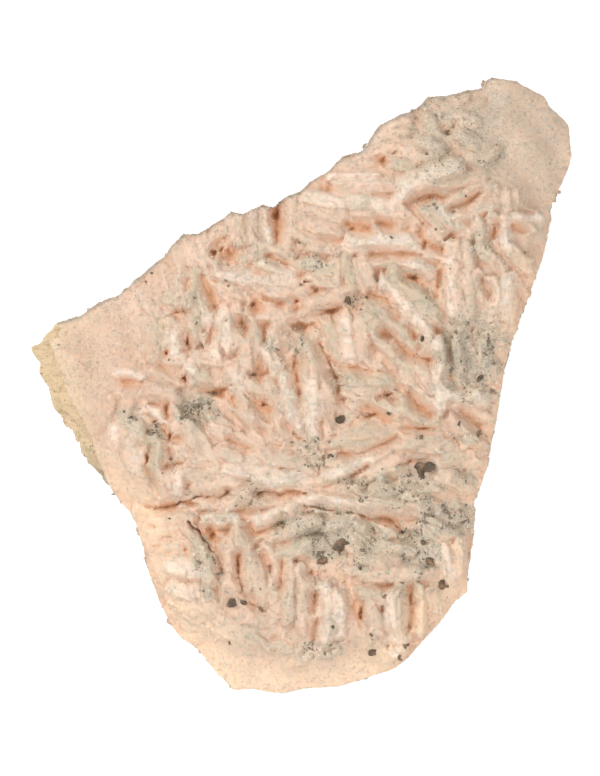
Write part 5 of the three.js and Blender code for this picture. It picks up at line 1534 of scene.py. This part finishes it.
dolomiteLook = {
    # some of these colours serve as painted shade in the recesses, clefts and cracks, and one as a painted
    # shadow line along the north-west edge
    "pink": (0.78, 0.545, 0.40), "palePink": (0.81, 0.59, 0.445), "coat": (0.645, 0.515, 0.37),
    "bright": (0.95, 0.795, 0.665), "blushAndShade": (0.80, 0.51, 0.35), "stainAndShade": (0.70, 0.38, 0.205),
    "deepShade": (0.52, 0.25, 0.115), "crackShade": (0.30, 0.125, 0.055), "cream": (0.96, 0.685, 0.475),
    "film": (0.595, 0.497, 0.372), "band": (0.79, 0.595, 0.40), "tan": (0.67, 0.50, 0.37),
    "smooth": (0.72, 0.485, 0.34), "wall": (0.62, 0.46, 0.33), "cleaved": (0.80, 0.65, 0.52),
    "footDark": (0.42, 0.31, 0.20), "speck": (0.24, 0.19, 0.135), "edgeShadow": (0.36, 0.31, 0.25),
    "roughness": 0.5, "bump": (0.5, 0.0002), "grain": 1.0,
    "translucency": 0.5, "glowRadius": (1.0, 0.55, 0.4), "glowDepth": 0.0014,
}


def makeDolomite():
    look = dolomiteLook
    coats = Coats("Pink dolomite", look)
    tree, mask, noise, scale = coats.tree, coats.mask, coats.noise, coats.range
    crest, recessShade, film, cleftShade = mask("crest"), mask("recessShade"), mask("film"), mask("cleftShade")
    coats.colour = coats.mix(noise(90.0, 3.0, 0.55, 0.35, 0.68), "pink", "palePink")
    # the tan-grey dust on the crests, more on some blades than on others
    dust = coats.times(crest, noise(160.0, 4.0, 0.6, 0.34, 0.62, 0.15, 1.0))
    dust = plus(tree, coats.times(dust, 0.8), mask("coated", 0.5))
    dust = addMath(tree, "SUBTRACT", dust, mask("clean", 0.65))
    own = addMath(tree, "SUBTRACT", mask("tone"), 0.5)
    dust = plus(tree, dust, coats.times(own, 0.7))
    dust = addMath(tree, "MINIMUM", addMath(tree, "MAXIMUM", dust, 0.0), 1.0)
    fine = noise(1300.0, 4.0, 0.75, 0.42, 0.66, 0.0, 0.25)
    greyed = coats.times(crest, noise(130.0, 3.0, 0.6, 0.48, 0.66, 0.0, 0.55))
    greyed = coats.times(greyed, scale(mask("smooth"), 0.0, 0.7, 1.0, 0.1))
    warm = addNoise(tree, coats.place, 620.0, 4.0, 0.7)
    pale = coats.times(mask("bright"), scale(coats.mottle, 0.35, 0.62, 0.15, 1.0))
    coats.lay(
        (dust, "coat"),
        (mask("tan", 0.8), "tan"),
        (mask("smooth", 0.9), "smooth"),
        (addMath(tree, "MAXIMUM", fine, greyed), "film"),
        (scale(warm, 0.5, 0.7, 0.0, 0.13), "blushAndShade"),
        (scale(warm, 0.48, 0.32, 0.0, 0.1), "bright"),
        # the paler fringe, partly painted light on the edges facing south and west
        (mask("rim"), "cream"),
        (mask("band", 0.85), "band"),
        (coats.times(pale, 0.72), "bright"),
        # painted glints on a few of the small crystals
        (mask("glint", 0.6), "bright"),
        # painted shade in the recesses, going from blush through orange to dark brown with depth
        (scale(recessShade, 0.12, 0.65, 0.0, 0.72), "blushAndShade"),
        (scale(recessShade, 0.58, 1.0, 0.0, 0.66), "stainAndShade"),
        (scale(recessShade, 0.8, 1.0, 0.0, 0.5), "deepShade"),
        # painted orange-brown shade along the clefts
        (scale(cleftShade, 0.0, 0.6, 0.0, 0.52), "stainAndShade"),
        (scale(cleftShade, 0.65, 1.0, 0.0, 0.5), "deepShade"),
        (coats.times(film, scale(coats.mottle, 0.3, 0.6, 0.45, 1.0)), "film"),
        # painted shade in the open cracks
        (mask("crackShade", 0.95), "crackShade"),
    )
    # painted glints and dark dots, both more frequent on the film
    shifted = tree.nodes.new("ShaderNodeVectorMath")
    shifted.inputs[1].default_value = (0.31, 0.17, 0.05)
    plug(tree, coats.place, shifted.inputs[0])
    grains = coats.speckle(plus(tree, coats.times(film, 0.25), 0.06), shifted.outputs[0])
    dots = coats.speckle(plus(tree, coats.times(film, 0.36), 0.012))
    broken = coats.mix(noise(420.0, 4.0, 0.7, 0.4, 0.62), "wall", "cleaved")
    broken = coats.mix(noise(170.0, 3.0, 0.55, 0.55, 0.75, 0.0, 0.6), broken, "stainAndShade")
    coats.lay(
        # painted glints
        (coats.times(grains, 0.7), "bright"),
        (coats.times(dots, 0.75), "speck"),
        (mask("wall", 0.85), broken),
        # darker low on the crust, near the rock
        (coats.times(mask("footDark"), scale(coats.mottle, 0.3, 0.65, 0.25, 0.9)), "footDark"),
        # painted shadow line along the north-west edges
        (mask("edgeShadow", 0.9), "edgeShadow"),
    )
    coats.shader.inputs["Subsurface Weight"].default_value = look["translucency"]
    coats.shader.inputs["Subsurface Radius"].default_value = look["glowRadius"]
    coats.shader.inputs["Subsurface Scale"].default_value = look["glowDepth"]
    return coats.finish()


rockPaint = {
    "tan": (0.50, 0.40, 0.27), "brown": (0.30, 0.22, 0.13), "grey": (0.42, 0.37, 0.29),
    "vein": (0.70, 0.60, 0.46), "band": (0.755, 0.57, 0.36), "olive": (0.57, 0.445, 0.26),
    "speck": (0.10, 0.08, 0.06), "roughness": 0.85, "bump": (0.8, 0.0005), "grain": 0.7,
}


def makeRock():
    coats = Coats("Host rock", rockPaint)
    tree, noise = coats.tree, coats.noise
    coats.colour = coats.mix(noise(55.0, 4.0, 0.55, 0.4, 0.62), "tan", "grey")
    vein = addMath(tree, "SUBTRACT", addNoise(tree, coats.place, 38.0, 5.0, 0.6), 0.5)
    pale = coats.mix(noise(300.0, 4.0, 0.65, 0.45, 0.7), "band", "olive")
    coats.lay(
        (noise(130.0, 4.0, 0.55, 0.5, 0.72, 0.0, 0.8), "brown"),
        (coats.range(addMath(tree, "ABSOLUTE", vein), 0.018, 0.004, 0.0, 0.8), "vein"),
        (coats.range(coats.mottle, 0.35, 0.65, 0.0, 0.35), "brown"),
        (coats.mask("band"), pale),
        (coats.speckle(0.08), "speck"),
    )
    return coats.finish()


sphaleritePaint = {
    "dark": (0.10, 0.075, 0.05), "brown": (0.30, 0.19, 0.11), "pale": (0.26, 0.205, 0.15),
    "roughness": 0.6, "shine": 1.45, "bump": (0.3, 0.0001), "grain": 1.2,
}


def makeSphalerite():
    coats = Coats("Sphalerite", sphaleritePaint)
    coats.colour = coats.mix(coats.range(coats.mottle, 0.4, 0.65), "dark", "brown")
    coats.lay((coats.mask("pale", 0.9), "pale"))
    coats.shader.inputs["IOR"].default_value = sphaleritePaint["shine"]
    return coats.finish()


dolomite, hostRock, sphalerite = makeDolomite(), makeRock(), makeSphalerite()
for thing in (crust, *druse):
    thing.data.materials.clear()
    thing.data.materials.append(dolomite)
rock.data.materials.append(hostRock)
for thing in (*crystals, smallBlobs, specks):
    thing.data.materials.clear()
    thing.data.materials.append(sphalerite)
crust.name = "crust_body"
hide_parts("dolomite_crust")
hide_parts("matrix")
for thing in (crust, *druse, rock, *crystals, smallBlobs, specks):
    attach(thing, "root")
for thing in (*druse, rock):
    thing.data.shade_flat()
crust.data.shade_smooth()
print("materials set")

# Floor, lights and camera
stageLook = {
    "floor": (0.6, 0.6, 0.6), "floorRoughness": 0.9, "floorGlow": 0.62,
    "floorSize": 3.0, "floorLevel": -0.0002,
    "world": 0.575,
    "key": {"place": (-0.85, 0.6, 1.0), "power": 12.6, "size": 0.85},
    "fill": {"place": (0.4, -0.6, 0.8), "power": 4.8, "size": 0.8},
}


def addFloor():
    half = stageLook["floorSize"] / 2
    corners = [(-half, -half, 0), (half, -half, 0), (half, half, 0), (-half, half, 0)]
    floor = meshObject("floor", corners, [(0, 1, 2, 3)])
    floor.location.z = stageLook["floorLevel"]
    material = bpy.data.materials.new("Pale floor")
    material.use_nodes = True
    tree = material.node_tree
    shader = tree.nodes["Principled BSDF"]
    shader.inputs["Base Color"].default_value = (*stageLook["floor"], 1)
    shader.inputs["Roughness"].default_value = stageLook["floorRoughness"]
    shader.inputs["Emission Color"].default_value = (1, 1, 1, 1)
    seen = tree.nodes.new("ShaderNodeLightPath").outputs["Is Camera Ray"]
    tree.links.new(times(tree, seen, stageLook["floorGlow"]), shader.inputs["Emission Strength"])
    floor.data.materials.append(material)


def addLight(name, place, power, size):
    light = bpy.data.lights.new(name, "AREA")
    light.energy, light.size = power, size
    thing = bpy.data.objects.new(name, light)
    thing.location = place
    thing.rotation_euler = (-Vector(place)).to_track_quat("-Z", "Y").to_euler()
    bpy.context.scene.collection.objects.link(thing)


addFloor()
for name in ("key", "fill"):
    addLight(name, **stageLook[name])
world = bpy.data.worlds.new("studio")
world.use_nodes = True
world.node_tree.nodes["Background"].inputs["Color"].default_value = (1, 1, 1, 1)
world.node_tree.nodes["Background"].inputs["Strength"].default_value = stageLook["world"]
bpy.context.scene.world = world
bpy.context.scene.view_settings.view_transform = "Standard"

# Straight down on the specimen, at the photograph's scale of 0.2 mm a pixel on the crust
cameraLook = {"lens": 200.0, "sensor": 36.0, "frameHeight": 155.2, "middle": (0.2, -0.5), "level": 21.0}
cameraData = bpy.data.cameras.new("camera")
cameraData.lens, cameraData.sensor_width = cameraLook["lens"], cameraLook["sensor"]
cameraData.dof.use_dof = False
away = cameraLook["frameHeight"] * cameraLook["lens"] / cameraLook["sensor"] + cameraLook["level"]
cameraData.clip_start, cameraData.clip_end = 0.05, 10
camera = bpy.data.objects.new("camera", cameraData)
camera.location = (cameraLook["middle"][0] * mm, cameraLook["middle"][1] * mm, away * mm)
bpy.context.scene.collection.objects.link(camera)
bpy.context.scene.camera = camera

print("stage set")
